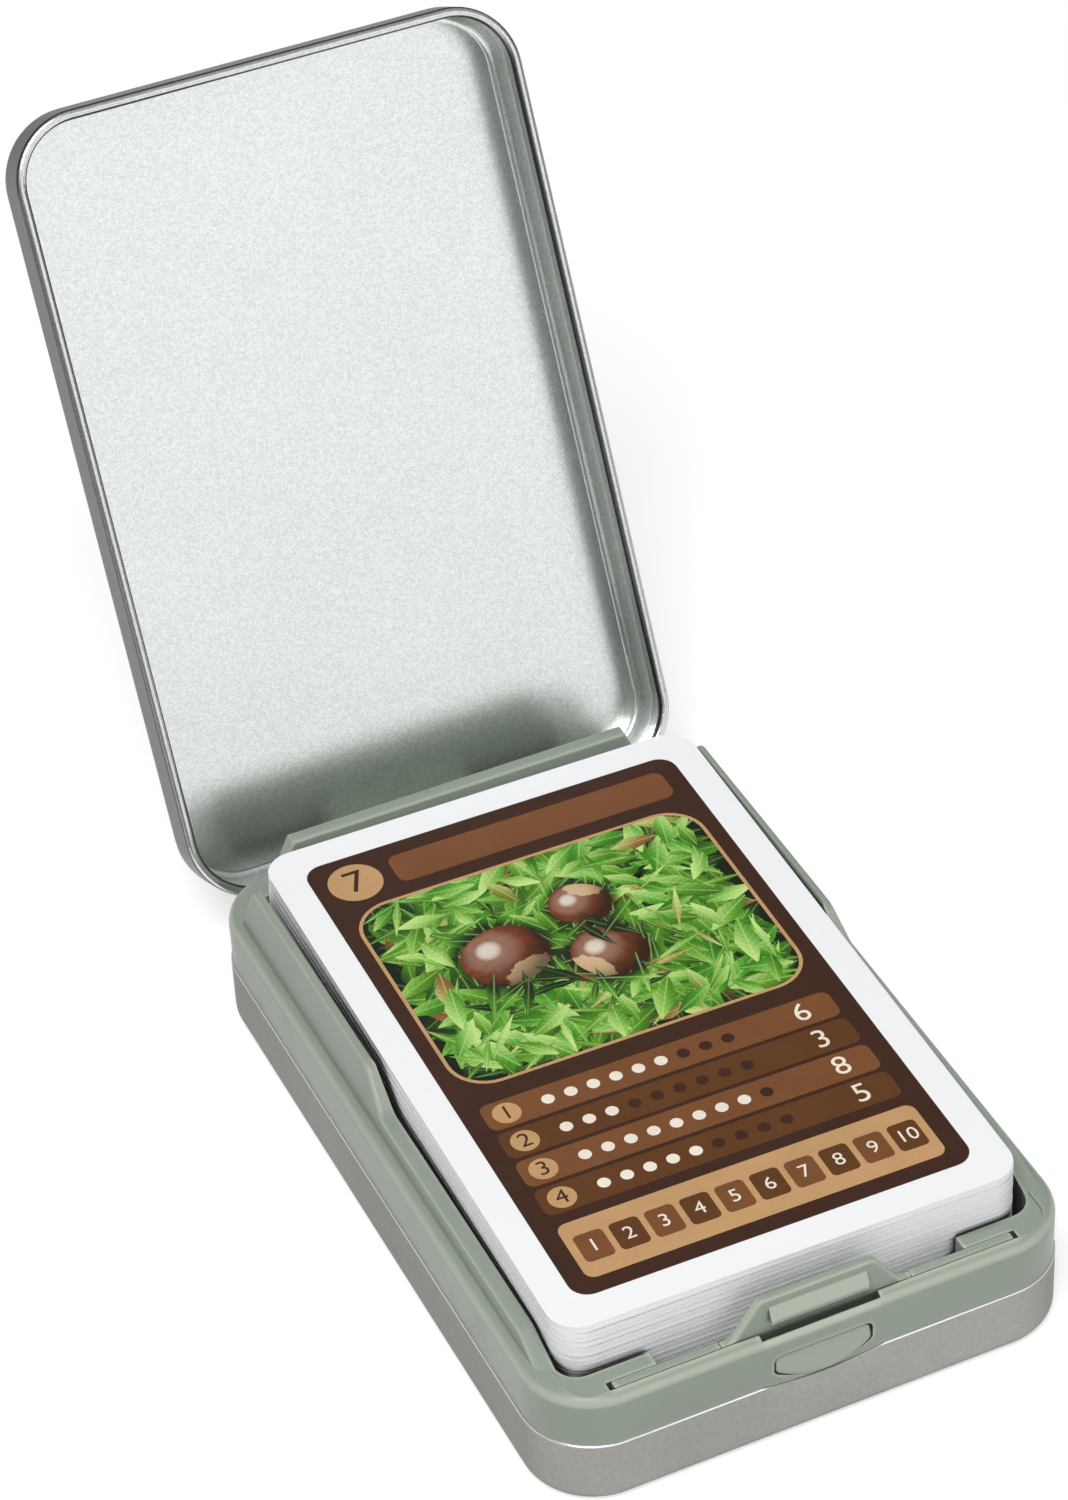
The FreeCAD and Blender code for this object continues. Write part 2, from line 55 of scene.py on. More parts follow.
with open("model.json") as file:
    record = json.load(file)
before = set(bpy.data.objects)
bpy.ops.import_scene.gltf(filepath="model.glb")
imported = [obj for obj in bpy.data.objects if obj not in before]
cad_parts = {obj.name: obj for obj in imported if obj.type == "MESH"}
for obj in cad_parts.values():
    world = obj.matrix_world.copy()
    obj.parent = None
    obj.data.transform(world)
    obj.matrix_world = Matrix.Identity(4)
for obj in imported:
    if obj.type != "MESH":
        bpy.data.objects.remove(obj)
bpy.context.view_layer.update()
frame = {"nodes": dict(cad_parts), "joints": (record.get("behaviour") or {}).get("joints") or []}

MM = 0.001
PLASTIC_NODES = ("tray_insert", "latch_tongue", "release_button")
ARM_NODES = ("latch_arm_right", "latch_arm_left")
CARD_NODES = tuple(sorted(name for name in frame["nodes"] if name.startswith("card_")))
TOP_CARD = CARD_NODES[-1]
LID_JOINT = next(joint for joint in frame["joints"] if joint["name"] == "lid_hinge")

# Shut tin, in which the zones of the pan and the lid are measured
HALF_WIDTH, HALF_LENGTH, TIN_CORNER = 36.0 * MM, 54.3 * MM, 9.5 * MM
LID_TOP, LID_FILLET = 26.2 * MM, 3.2 * MM

# Zones of the tinplate, each from where it starts to where it is full: heights in the shut tin, depths under
# the lid's outer face, rises over the lower end of its fold, and slopes of its inner face
BEAD_HEIGHT = (19.2 * MM, 18.9 * MM)
RIM_HEIGHT = (8.4 * MM, 8.6 * MM)
SKIN_DEPTH = (-0.26 * MM, -0.14 * MM)
LIP_DEPTH = (-1.0 * MM, -1.25 * MM)
FOLD_RISE = (-0.2 * MM, 0.0)
WALL_RISE = (0.8 * MM, 0.0)
SKIRT_RISE = (2.2 * MM, 0.2 * MM)
LEVEL_SLOPE = (-0.57, -0.93)

# Shine that the tinplate keeps at glancing angles
LID_GLANCE = (0.78, 0.78, 0.78)
PAN_GLANCE = (0.55, 0.55, 0.55)

# Size of the speckle, softness of the edges and depth of the fine relief, where no setting gives them
GRAIN = {"wire": 0.2 * MM, "plastic": 0.12 * MM, "paper": 0.15 * MM}
EDGE = {"lid": 0.1 * MM, "pan": 0.12 * MM, "wire": 0.1 * MM}
RELIEF = {"tin": 0.002 * MM, "wire": 0.004 * MM, "plastic": 0.0025 * MM, "paper": 0.0015 * MM}
WIRE_TONES = ((0.42, 0.42, 0.41), (0.62, 0.62, 0.60))

# Spring arms: angle of the edges that are rounded, and angle up to which faces are smooth
ARM_CORNER, ARM_SMOOTH = math.radians(45), math.radians(40)

# Open share of the surroundings: output, inside or not, share of the reach, start and full
DEPTH_RANGES = (("Valley", False, 1.0, 0.92, 0.3), ("Thin", True, 0.38, 0.9, 0.4))

# Fields printed on the top card, in millimetres from its middle: left, right, bottom, top, corner
PANEL = (-26.8, 26.8, -43.6, 43.6, 2.6)
WINDOW = (-24.2, 24.2, -4.6, 32.6, 5.0)
TITLE = (-15.8, 24.2, 35.5, 41.1, 1.4)
TRACK = (-24.2, 24.2, -41.2, -31.4, 1.4)
WINDOW_RULE = 0.5
BADGE = (-21.2, 38.3)
BADGE_RADIUS, BADGE_FIGURE = 3.7, 6.0

# Score rows with a number, pips and a score, and the numbered cells of the track
ROW_SCORES = (6, 3, 8, 5)
ROW_LEFT, ROW_RIGHT, ROW_TOP = -24.2, 24.2, -8.2
ROW_HEIGHT, ROW_PITCH, ROW_CORNER = 4.9, 5.5, 1.2
ROW_DISC_X, ROW_DISC_RADIUS, ROW_FIGURE = -21.2, 1.85, 3.4
SCORE_X, SCORE_FIGURE = 19.6, 4.6
PIP_COUNT, PIP_LEFT, PIP_PITCH, PIP_RADIUS = 9, -15.6, 3.1, 0.85
CELL_COUNT, CELL_LEFT, CELL_PITCH, CELL_MIDDLE = 10, -21.15, 4.7, -36.3
CELL_HALF_WIDTH, CELL_HALF_HEIGHT, CELL_CORNER, CELL_FIGURE = 1.95, 2.4, 0.7, 3.0

# Picture: nuts as x, y, radius and turn, layers of leaves as share of the gap and slimness, the strip of
# blades below a nut as lower end, upper end and corner in radii, and one number for each random draw
NUTS = ((-9.4, 16.2, 5.9, 24.0), (3.0, 11.0, 5.1, -58.0), (3.4, 21.2, 4.2, 150.0))
NUT_STEPS, NUT_SQUARENESS, NUT_FLATNESS = 40, 2.25, 0.93
NUT_LIGHT = Vector((-0.5, 0.55, 0.67)).normalized()
NUT_GLOSS = Vector((-0.3, 0.33, 0.9)).normalized()
NUT_SCAR = (0.0, -0.72, 0.0)
NUT_RINGS, NUT_WAVES = 15.0, 22.0
NUT_SHADE, SCAR_SHADE, SOIL_SHADE = 0.16, 0.25, 0.5
SOIL_MARGIN = 1.0
LEAF_INSET_SIDE, LEAF_INSET_END, LEAF_FIELD_CORNER = 2.3, 1.0, 3.0
LEAF_SPREAD = 0.014
LEAF_LAYERS = ((1.0, 0.62), (1.5, 0.86))
LEAF_SIDES, LEAF_DENSITY, LEAF_VEINS = 16, 9.0, 26.0
LEAF_SIZES = (0.28, 0.5)
BLADE_LAYER = (1.6, 0.8)
BLADE_STRIP = (1.5, 1.1, 0.15)
DRAWS = {"turn": 3, "size": 5, "height": 7, "tone": 9, "hue": 13}
DOT_SIDES = 28

# Micrometres that each layer of print stands off the card
LIFTS = {
    "soil": 4, "leaves": 6, "nuts": 24, "blades": 25, "panel": 32, "rules": 36, "rows": 40, "discs": 44,
    "figures": 48,
}

# Studio: place, target and size of each lamp, and the camera
LAMP_ABOVE = ((-0.28, -0.37, 0.82), (0.0, 0.0, 0.02), (0.45, 0.45))
LAMP_FRONT = ((0.4, -0.95, 0.47), (0.4, 0.0, 0.47), (0.96, 0.78))
FLOOR_RADIUS, FLOOR_SIDES, FLOOR_DROP, FLOOR_CLOUD = 3.0, 96, 0.02 * MM, 0.985
CAMERA_PLACE = (-0.1809, -0.3950, 0.4184)
CAMERA_FORWARD = (0.308, 0.714, -0.629)
CAMERA_RIGHT = (0.9045, -0.425, -0.040)
SENSOR_HEIGHT, CLIP_START = 36.0, 0.01


def srgb(red, green, blue):
    """Linear colour of a screen colour given as three numbers up to 255."""
    shares = (value / 255 for value in (red, green, blue))
    return tuple(s / 12.92 if s <= 0.04045 else ((s + 0.055) / 1.055) ** 2.4 for s in shares)


def colour_property(name, description, default):
    """Colour that a user would change."""
    return FloatVectorProperty(
        name=name, description=description, default=default, subtype="COLOR", size=3, min=0, max=1
    )


def length_property(name, description, default):
    """Length in metres that a user would change."""
    return FloatProperty(
        name=name, description=description, default=default, unit="LENGTH", subtype="DISTANCE", min=0,
        precision=5,
    )


def share_property(name, description, default):
    """Share from nothing to all."""
    return FloatProperty(
        name=name, description=description, default=default, subtype="FACTOR", min=0, max=1
    )


class TinLook(PropertyGroup):
    """Bare tinplate of the pan and the lid."""

    inside: colour_property("Inside", "Tinplate inside the lid", (0.78, 0.81, 0.785))
    # Painted highlight: brighter tin colour on the lid's inner walls
    wall: colour_property("Walls", "Tinplate on the lid's inner walls", (0.92, 0.96, 0.92))
    # Painted shade: darker tin on the lid's rolled rim, near black on its inner lip
    bead: colour_property("Bead", "Rolled rim of the lid", (0.7, 0.72, 0.7))
    lip: colour_property("Lip", "Shaded inner line of the lid's rim", (0.1, 0.105, 0.1))
    outside: colour_property("Outside", "Outer side of the lid", (0.82, 0.83, 0.8))
    # Painted shade: the lid's outer walls far darker than the same tin on its top
    skirt_shade: colour_property("Skirt", "Outer walls of the lid", (0.15, 0.152, 0.144))
    # Painted shade: the pan's outer tin far darker than the lid's inside, for the dim surroundings it
    # reflects
    pan: colour_property("Pan", "Outer side of the pan", (0.31, 0.31, 0.286))
    # Painted highlight: near-white tin on the pan's rolled rim and on the lid's sharp edges
    rim: colour_property("Rim", "Bright rolled rim of the pan", (0.93, 0.95, 0.94))
    roughness: share_property("Roughness", "Blur of the reflection inside the lid", 0.24)
    satin: share_property("Satin", "Blur of the reflection on the pan", 0.36)
    grain: length_property("Grain", "Size of the speckle in the tin coat", 0.19 * MM)
    streak: length_property("Streak", "Width of the drawing marks on the pan", 0.35 * MM)


class TrayLook(PropertyGroup):
    """Moulded plastic of the tray, the latch and the button."""

    body: colour_property("Body", "Plastic in plain light", srgb(145, 155, 143))
    # Painted highlight: pale plastic mixed onto thin parts, sharp edges and rounded shoulders
    pale: colour_property("Edges", "Plastic on thin and rounded edges", srgb(212, 216, 197))
    # Painted shade: dark plastic mixed into narrow valleys, creases and recesses
    deep: colour_property("Valleys", "Plastic in narrow valleys", srgb(60, 69, 59))
    reach: length_property("Reach", "How far valleys and thin edges show", 2.1 * MM)
    # Share of painted highlight on shoulders that lean upwards
    rounds: share_property("Rounds", "How pale the rounded edges are", 0.35)
    roughness: share_property("Roughness", "Blur of the reflection", 0.36)
    edge: length_property("Edge", "Softness of the moulded edges", 0.24 * MM)
    arm_bevel: length_property("Arm bevel", "Round of the spring arms' edges", 0.28 * MM)
    arm_steps: IntProperty(name="Arm steps", description="Divisions along an arm", default=24, min=2)
    arm_seat: length_property("Arm seat", "End of each arm that stays still in its slot", 6.2 * MM)


class DeckLook(PropertyGroup):
    """White card stock."""

    face: colour_property("Face", "Coated white face", srgb(245, 246, 248))
    edge: colour_property("Edge", "Cut edge", srgb(247, 248, 250))
    line: colour_property("Line", "Shade between two cards", srgb(186, 190, 196))
    gap: colour_property("Gap", "Shade where the deck stands in the tray", srgb(34, 28, 22))
    reach: length_property("Reach", "How far the shade of the gap shows", 1.7 * MM)
    thickness: length_property("Thickness", "One card", 0.32 * MM)


class PrintLook(PropertyGroup):
    """Printed face of the top card, in card millimetres from its middle."""

    ground: colour_property("Ground", "Dark panel", srgb(62, 35, 22))
    brown: colour_property("Brown", "First row colour", srgb(122, 76, 42))
    ochre: colour_property("Ochre", "Second row colour", srgb(96, 57, 24))
    tan: colour_property("Tan", "Track and rules", srgb(196, 154, 107))
    pale: colour_property("Pale", "Figures and pips", srgb(240, 230, 214))
    shade: colour_property("Shade", "Leaf in shade", srgb(22, 40, 12))
    leaf: colour_property("Leaf", "Leaf in plain light", srgb(70, 158, 30))
    bright: colour_property("Bright", "Leaf in bright light", srgb(200, 232, 138))
    dry: colour_property("Dry", "Dry leaf", srgb(158, 112, 58))
    nut: colour_property("Nut", "Skin of the nuts", srgb(132, 66, 30))
    scar: colour_property("Scar", "Pale end of the nuts", srgb(206, 172, 128))
    leaf_length: length_property("Leaf length", "Long leaves of the picture", 9.0 * MM)
    leaf_gap: length_property("Leaf gap", "Least distance between leaf stalks", 1.2 * MM)
    seed: IntProperty(name="Seed", description="Order of the scattered leaves", default=11, min=0)


class StageLook(PropertyGroup):
    """Floor, lamps and camera."""

    floor: colour_property("Floor", "Pale floor", (0.72, 0.72, 0.72))
    lift: share_property("Lift", "How much whiter the floor looks than it is lit", 0.5)
    fill: share_property("Fill", "Light from above, all round", 0.36)
    low: share_property("Low", "Light from near the horizon", 0.1)
    key: FloatProperty(name="Key", description="Power of the lamp above", default=6.3, unit="POWER")
    front: FloatProperty(name="Front", description="Power of the lamp in front", default=2.12, unit="POWER")
    lens: FloatProperty(
        name="Lens", description="Focal length", default=110.8, unit="CAMERA", subtype="DISTANCE_CAMERA"
    )


class CardTinSettings(PropertyGroup):
    """All settings of the card tin."""

    tin: PointerProperty(type=TinLook)
    tray: PointerProperty(type=TrayLook)
    deck: PointerProperty(type=DeckLook)
    face: PointerProperty(type=PrintLook)
    stage: PointerProperty(type=StageLook)


def settings():
    """Settings kept on the scene."""
    return bpy.context.scene.card_tin


class NodeDesk:
    """Short calls that add and join nodes in one tree."""

    def __init__(self, tree):
        self.tree = tree

    def add(self, kind, inputs=None, **options):
        """New node with its options set and its inputs joined or filled."""
        node = self.tree.nodes.new(kind)
        for name, value in options.items():
            setattr(node, name, value)
        for key, value in (inputs or {}).items():
            self.join(value, node.inputs[key])
        return node

    def first(self, kind, inputs=None, **options):
        """First output of a new node."""
        return self.add(kind, inputs, **options).outputs[0]

    def join(self, value, socket):
        """Link a socket, or set a plain value; a colour gets full cover."""
        if isinstance(value, bpy.types.NodeSocket):
            self.tree.links.new(value, socket)
        elif socket.type == "RGBA":
            socket.default_value = (*value[:3], 1.0)
        else:
            socket.default_value = value

    def sum(self, operation, first, second=0.0, clamp=False):
        """Result of one step of arithmetic."""
        return self.first("ShaderNodeMath", {0: first, 1: second}, operation=operation, use_clamp=clamp)

    def times(self, first, second):
        """Product."""
        return self.sum("MULTIPLY", first, second)

    def plus(self, first, second):
        """Total."""
        return self.sum("ADD", first, second)

    def minus(self, first, second, clamp=False):
        """Difference."""
        return self.sum("SUBTRACT", first, second, clamp)

    def vector(self, operation, first, second=(0.0, 0.0, 0.0)):
        """Result of one step of vector arithmetic."""
        node = self.add("ShaderNodeVectorMath", {0: first, 1: second}, operation=operation)
        return node.outputs["Value" if operation in ("LENGTH", "DOT_PRODUCT") else "Vector"]

    def spread(self, value, low, high, to_low=0.0, to_high=1.0):
        """Value moved smoothly from one range to another."""
        node = self.add(
            "ShaderNodeMapRange",
            {"Value": value, "From Min": low, "From Max": high, "To Min": to_low, "To Max": to_high},
            interpolation_type="SMOOTHSTEP",
        )
        return node.outputs["Result"]

    def waver(self, noise, low, high):
        """Noise, which keeps near its middle, spread between two values."""
        return self.spread(noise, 0.3, 0.7, low, high)

    def mix(self, share, first, second, blend="MIX"):
        """Two colours mixed."""
        node = self.add("ShaderNodeMix", data_type="RGBA", blend_type=blend)
        for value, socket in ((share, node.inputs[0]), (first, node.inputs[6]), (second, node.inputs[7])):
            self.join(value, socket)
        return node.outputs[2]

    def noise(self, coords, scale, detail=2.0, roughness=0.5):
        """Noise from 0 to 1."""
        return self.first(
            "ShaderNodeTexNoise",
            {"Vector": coords, "Scale": scale, "Detail": detail, "Roughness": roughness},
        )

    def stretched(self, coords, scale):
        """Coordinates with each axis scaled by itself."""
        return self.first("ShaderNodeMapping", {"Vector": coords, "Scale": scale})

    def facing(self):
        """Direction that the surface faces."""
        return self.add("ShaderNodeNewGeometry").outputs["Normal"]

    def attribute(self, name, output):
        """Attribute that is kept on the mesh."""
        return self.add("ShaderNodeAttribute", attribute_name=name).outputs[output]

    def split(self, vector):
        """The three numbers of a vector."""
        return self.add("ShaderNodeSeparateXYZ", {0: vector}).outputs

    def merged(self, x=0.0, y=0.0, z=0.0):
        """Vector of three numbers."""
        return self.first("ShaderNodeCombineXYZ", {0: x, 1: y, 2: z})

    def bump(self, height, depth, normal):
        """Normal with a fine relief of the given depth in metres."""
        return self.first(
            "ShaderNodeBump", {"Height": height, "Distance": depth, "Strength": 1.0, "Normal": normal}
        )

    def chance(self, seed, low, high, step):
        """Number drawn anew for each point; step keeps one draw apart from another."""
        inputs = {2: low, 3: high, "Seed": self.plus(seed, step)}
        node = self.add("FunctionNodeRandomValue", inputs, data_type="FLOAT")
        return node.outputs[1]

    def group(self, tree, **inputs):
        """A shared node group with its inputs filled."""
        node = self.add("ShaderNodeGroup", node_tree=tree)
        for name, value in inputs.items():
            self.join(value, node.inputs[name])
        return node.outputs


def new_group(name, inputs, outputs, kind="ShaderNodeTree"):
    """Empty node tree with named sockets; returns its desk, the sockets it is given and those it fills."""
    tree = bpy.data.node_groups.new(name, kind)
    for side, sockets in (("INPUT", inputs), ("OUTPUT", outputs)):
        for label, value in sockets:
            tree.interface.new_socket(label, in_out=side, socket_type="NodeSocket" + value)
    desk = NodeDesk(tree)
    return desk, desk.add("NodeGroupInput").outputs, desk.add("NodeGroupOutput").inputs


def shared_group(name, inputs, outputs):
    """Decorator for a function that fills a node group: the group is made once, then handed out again."""
    def shared(fill):
        def tree():
            if name not in bpy.data.node_groups:
                fill(*new_group(name, inputs, outputs))
            return bpy.data.node_groups[name]
        return tree
    return shared


def tinted(desk, colour, tone):
    """Colour made lighter or darker by a tone near 1."""
    grey = desk.first("ShaderNodeCombineColor", {0: tone, 1: tone, 2: tone})
    return desk.mix(1.0, colour, grey, "MULTIPLY")


@shared_group("Soft Edge", [("Radius", "Float")], [("Normal", "Vector"), ("Edge", "Float")])
def soft_edge_group(desk, given, wanted):
    """Normals rounded over sharp edges, and a mask of those edges."""
    softened = desk.first("ShaderNodeBevel", {"Radius": given["Radius"]}, samples=6)
    agreement = desk.vector("DOT_PRODUCT", softened, desk.facing())
    desk.join(softened, wanted["Normal"])
    desk.join(desk.spread(agreement, 0.99, 0.8), wanted["Edge"])


@shared_group("Valley and Thinness", [("Reach", "Float")], [("Valley", "Float"), ("Thin", "Float")])
def depth_group(desk, given, wanted):
    """How deep a point lies in a valley, and how thin the body is below it, each from 0 to 1."""
    for label, inside, share, low, high in DEPTH_RANGES:
        reach = desk.times(given["Reach"], share)
        node = desk.add("ShaderNodeAmbientOcclusion", {"Distance": reach}, samples=8, inside=inside)
        desk.join(desk.spread(node.outputs["AO"], low, high), wanted[label])


@shared_group(
    "Surface Grain",
    [("Vector", "Vector"), ("Grain", "Float")],
    [("Speckle", "Float"), ("Cloud", "Float"), ("Handling", "Float")],
)
def grain_group(desk, given, wanted):
    """Fine speckle, slow clouds and handling marks of a surface, each from 0 to 1."""
    rate = desk.sum("DIVIDE", 1.0, given["Grain"])
    fine = desk.noise(given["Vector"], rate, 1.0)
    coarse = desk.noise(given["Vector"], desk.times(rate, 0.33), 2.0)
    both = desk.plus(desk.times(fine, 0.65), desk.times(coarse, 0.35))
    desk.join(desk.spread(both, 0.32, 0.68), wanted["Speckle"])
    desk.join(desk.noise(given["Vector"], 45.0, 3.0), wanted["Cloud"])
    marks = desk.noise(given["Vector"], 130.0, 5.0, 0.65)
    desk.join(desk.spread(marks, 0.5, 0.75), wanted["Handling"])


@shared_group(
    "Printed Ink", [("Vector", "Vector"), ("Colour", "Color")], [("Colour", "Color"), ("Roughness", "Float")]
)
def print_group(desk, given, wanted):
    """Ink on coated stock: colour mottled by a fine screen, and its gloss."""
    screen = desk.noise(given["Vector"], 6000.0, 1.0)
    cloud = desk.noise(given["Vector"], 160.0, 3.0)
    tone = desk.waver(screen, 0.92, 1.05)
    tone = desk.plus(tone, desk.waver(cloud, -0.04, 0.04))
    desk.join(tinted(desk, given["Colour"], tone), wanted["Colour"])
    desk.join(desk.waver(cloud, 0.36, 0.46), wanted["Roughness"])


class MaterialDesk(NodeDesk):
    """Desk of a new material that has only a Principled shader."""

    def __init__(self, name):
        self.material = bpy.data.materials.new(name)
        self.material.use_nodes = True
        super().__init__(self.material.node_tree)
        self.coords = self.add("ShaderNodeTexCoord").outputs["Object"]

    def grain(self, size):
        """Speckle, clouds and handling marks."""
        return self.group(grain_group(), Vector=self.coords, Grain=size)

    def soft(self, radius):
        """Normals and mask of softened edges."""
        return self.group(soft_edge_group(), Radius=radius)

    def finished(self, values):
        """The material, with inputs of its shader joined or set."""
        shader = next(node for node in self.tree.nodes if node.type == "BSDF_PRINCIPLED")
        for name, value in values.items():
            self.join(value, shader.inputs[name])
        return self.material


def dimmed(colour, share):
    """Colour with a share of its light."""
    return [value * share for value in colour]


def lid_turned(desk, vector, share, centre=(0.0, 0.0, 0.0)):
    """Vector turned about the hinge line, by a share of the way from the open lid to the shut one."""
    angle = math.radians(LID_JOINT["range_deg"][1]) * share
    return desk.first(
        "ShaderNodeVectorRotate", {"Vector": vector, "Center": centre, "Angle": angle}, rotation_type="X_AXIS"
    )


def lid_zones(desk):
    """Masks of the lid's skin, fold, inner walls, bead, lip and skirt, by place in the shut lid."""
    shut = lid_turned(desk, desk.coords, 1.0, LID_JOINT["pos_m"])
    flat = desk.vector("MULTIPLY", desk.vector("ABSOLUTE", shut), (1.0, 1.0, 0.0))
    over = desk.vector("SUBTRACT", flat, (HALF_WIDTH - TIN_CORNER, HALF_LENGTH - TIN_CORNER, 0.0))
    away = desk.vector("LENGTH", desk.vector("MAXIMUM", over))
    wall = desk.minus(away, TIN_CORNER - LID_FILLET)
    height = desk.split(shut)["Z"]
    rise = desk.minus(height, LID_TOP - LID_FILLET)
    both = desk.vector("MAXIMUM", desk.merged(wall, rise))
    depth = desk.minus(desk.vector("LENGTH", both), LID_FILLET)
    skin = desk.spread(depth, *SKIN_DEPTH)
    fold = desk.minus(desk.spread(rise, *FOLD_RISE), skin, clamp=True)
    bead = desk.spread(height, *BEAD_HEIGHT)
    lip = desk.times(bead, desk.spread(depth, *LIP_DEPTH))
    return skin, fold, desk.spread(rise, *WALL_RISE), bead, lip, desk.spread(rise, *SKIRT_RISE)


def tight_fold(desk, fold, normal):
    """Normal that keeps level on the lid's panel for longer, then turns quickly; and a mask of that turn."""
    shut = lid_turned(desk, desk.add("ShaderNodeTexCoord").outputs["Normal"], 1.0)
    level = desk.spread(desk.split(shut)["Z"], *LEVEL_SLOPE)
    lean = desk.sum("SQRT", desk.minus(1.0, desk.times(level, level)))
    outward = desk.vector("NORMALIZE", desk.vector("MULTIPLY", shut, (1.0, 1.0, 0.0)))
    outward = desk.vector("MULTIPLY", outward, desk.merged(lean, lean))
    upright = desk.merged(z=desk.times(level, -1.0))
    tight = lid_turned(desk, desk.vector("ADD", outward, upright), -1.0)
    tight = desk.first(
        "ShaderNodeVectorTransform", {"Vector": tight},
        vector_type="NORMAL", convert_from="OBJECT", convert_to="WORLD",
    )
    blend = desk.add("ShaderNodeMix", data_type="VECTOR")
    for value, socket in ((fold, blend.inputs[0]), (normal, blend.inputs[4]), (tight, blend.inputs[5])):
        desk.join(value, socket)
    bend = desk.times(fold, desk.minus(1.0, level))
    return desk.vector("NORMALIZE", blend.outputs[1]), bend


def lid_material(look):
    """Speckled tin coat inside the lid, plain satin outer skin; painted highlight and shade by zone and on
    edges.
    """
    desk = MaterialDesk("tinplate_lid")
    grain = desk.grain(look.grain)
    soft = desk.soft(EDGE["lid"])
    skin, fold, walls, bead, lip, skirt_shade = lid_zones(desk)
    speckle = desk.spread(grain["Speckle"], 0.0, 1.0, 0.87, 1.09)
    tone = desk.plus(speckle, desk.waver(grain["Cloud"], -0.012, 0.012))
    # Painted highlight on the lid's inner walls
    colour = desk.mix(walls, look.inside, look.wall)
    # Painted shade on the bead and on its inner lip
    colour = desk.mix(bead, colour, look.bead)
    colour = desk.mix(lip, colour, look.lip)
    # Painted shade on the outer walls of the lid
    outer = desk.mix(skirt_shade, look.outside, look.skirt_shade)
    colour = tinted(desk, desk.mix(skin, colour, outer), tone)
    # Painted highlight along sharp edges, in the pan rim's near-white colour
    colour = desk.mix(desk.times(soft["Edge"], 0.35), colour, look.rim)
    rough = desk.plus(look.roughness, desk.spread(grain["Handling"], 0.0, 1.0, -0.004, 0.01))
    rough = desk.plus(rough, desk.times(skin, 0.08))
    tight, bend = tight_fold(desk, fold, soft["Normal"])
    rough = desk.plus(rough, desk.times(bend, 0.22))
    normal = desk.bump(grain["Speckle"], RELIEF["tin"], tight)
    return desk.finished(
        {
            "Base Color": colour, "Metallic": 1.0, "Roughness": rough, "Normal": normal,
            "Specular Tint": LID_GLANCE,
        }
    )


def pan_material(look):
    """Satin tinplate with fine upright drawing marks and a rim brightened as a painted highlight."""
    desk = MaterialDesk("tinplate_pan")
    grain = desk.grain(look.grain)
    soft = desk.soft(EDGE["pan"])
    streak = desk.noise(desk.stretched(desk.coords, (1.0, 1.0, 0.03)), 1 / look.streak, 2.0)
    speckle = desk.spread(grain["Speckle"], 0.0, 1.0, 0.92, 1.06)
    tone = desk.plus(speckle, desk.waver(streak, -0.014, 0.014))
    tone = desk.plus(tone, desk.waver(grain["Cloud"], -0.06, 0.06))
    # Painted highlight on the pan's rim, where its upper edge turns upwards
    upper = desk.spread(desk.split(desk.coords)["Z"], *RIM_HEIGHT)
    rim = desk.times(upper, desk.spread(desk.split(desk.facing())["Z"], 0.05, 0.3))
    colour = desk.mix(rim, tinted(desk, look.pan, tone), look.rim)
    rough = desk.plus(look.satin, desk.spread(grain["Handling"], 0.0, 1.0, -0.02, 0.05))
    rough = desk.minus(rough, desk.times(rim, 0.1))
    normal = desk.bump(grain["Speckle"], RELIEF["tin"], soft["Normal"])
    return desk.finished(
        {
            "Base Color": colour, "Metallic": 1.0, "Roughness": rough, "Normal": normal,
            "Specular Tint": PAN_GLANCE,
        }
    )


def wire_material():
    """Drawn steel wire of the hinge pin."""
    desk = MaterialDesk("steel_wire_drawn")
    lines = desk.noise(desk.stretched(desk.coords, (0.05, 1.0, 1.0)), 9000.0, 2.0)
    colour = desk.mix(lines, *WIRE_TONES)
    rough = desk.waver(desk.grain(GRAIN["wire"])["Cloud"], 0.24, 0.36)
    normal = desk.bump(lines, RELIEF["wire"], desk.soft(EDGE["wire"])["Normal"])
    return desk.finished(
        {"Base Color": colour, "Metallic": 1.0, "Roughness": rough, "Normal": normal}
    )


def plastic_material(look):
    """Waxy moulded plastic with a fine-grained skin; painted highlight on thin and rounded edges, painted
    shade in valleys.
    """
    name = "tray_plastic_waxy"
    if name in bpy.data.materials:
        return bpy.data.materials[name]
    desk = MaterialDesk(name)
    grain = desk.grain(GRAIN["plastic"])
    soft = desk.soft(look.edge)
    cloud = desk.waver(grain["Cloud"], 0.96, 1.03)
    tone = desk.plus(cloud, desk.spread(grain["Speckle"], 0.0, 1.0, -0.015, 0.015))
    depth = desk.group(depth_group(), Reach=look.reach)
    colour = tinted(desk, look.body, tone)
    # Painted highlight on sharp edges, on thin parts and on shoulders that lean upwards
    upward = desk.split(soft["Normal"])["Z"]
    rounds = desk.times(desk.spread(upward, 0.08, 0.45), desk.spread(upward, 0.94, 0.62))
    thin = desk.times(depth["Thin"], 0.5)
    pale = desk.sum("MAXIMUM", desk.times(soft["Edge"], 0.5), thin)
    pale = desk.sum("MAXIMUM", pale, desk.times(rounds, look.rounds))
    colour = desk.mix(pale, colour, look.pale)
    # Painted shade in valleys and recesses, where little of the surroundings is open
    colour = desk.mix(desk.spread(depth["Valley"], 0.14, 0.75, 0.0, 0.82), colour, look.deep)
    rough = desk.plus(look.roughness, desk.spread(grain["Handling"], 0.0, 1.0, -0.02, 0.06))
    normal = desk.bump(grain["Speckle"], RELIEF["plastic"], soft["Normal"])
    return desk.finished(
        {
            "Base Color": colour, "Roughness": rough, "Normal": normal, "Specular IOR Level": 0.35,
            "Subsurface Weight": 0.25, "Subsurface Radius": (1.0, 1.0, 0.85), "Subsurface Scale": 0.8 * MM,
        }
    )


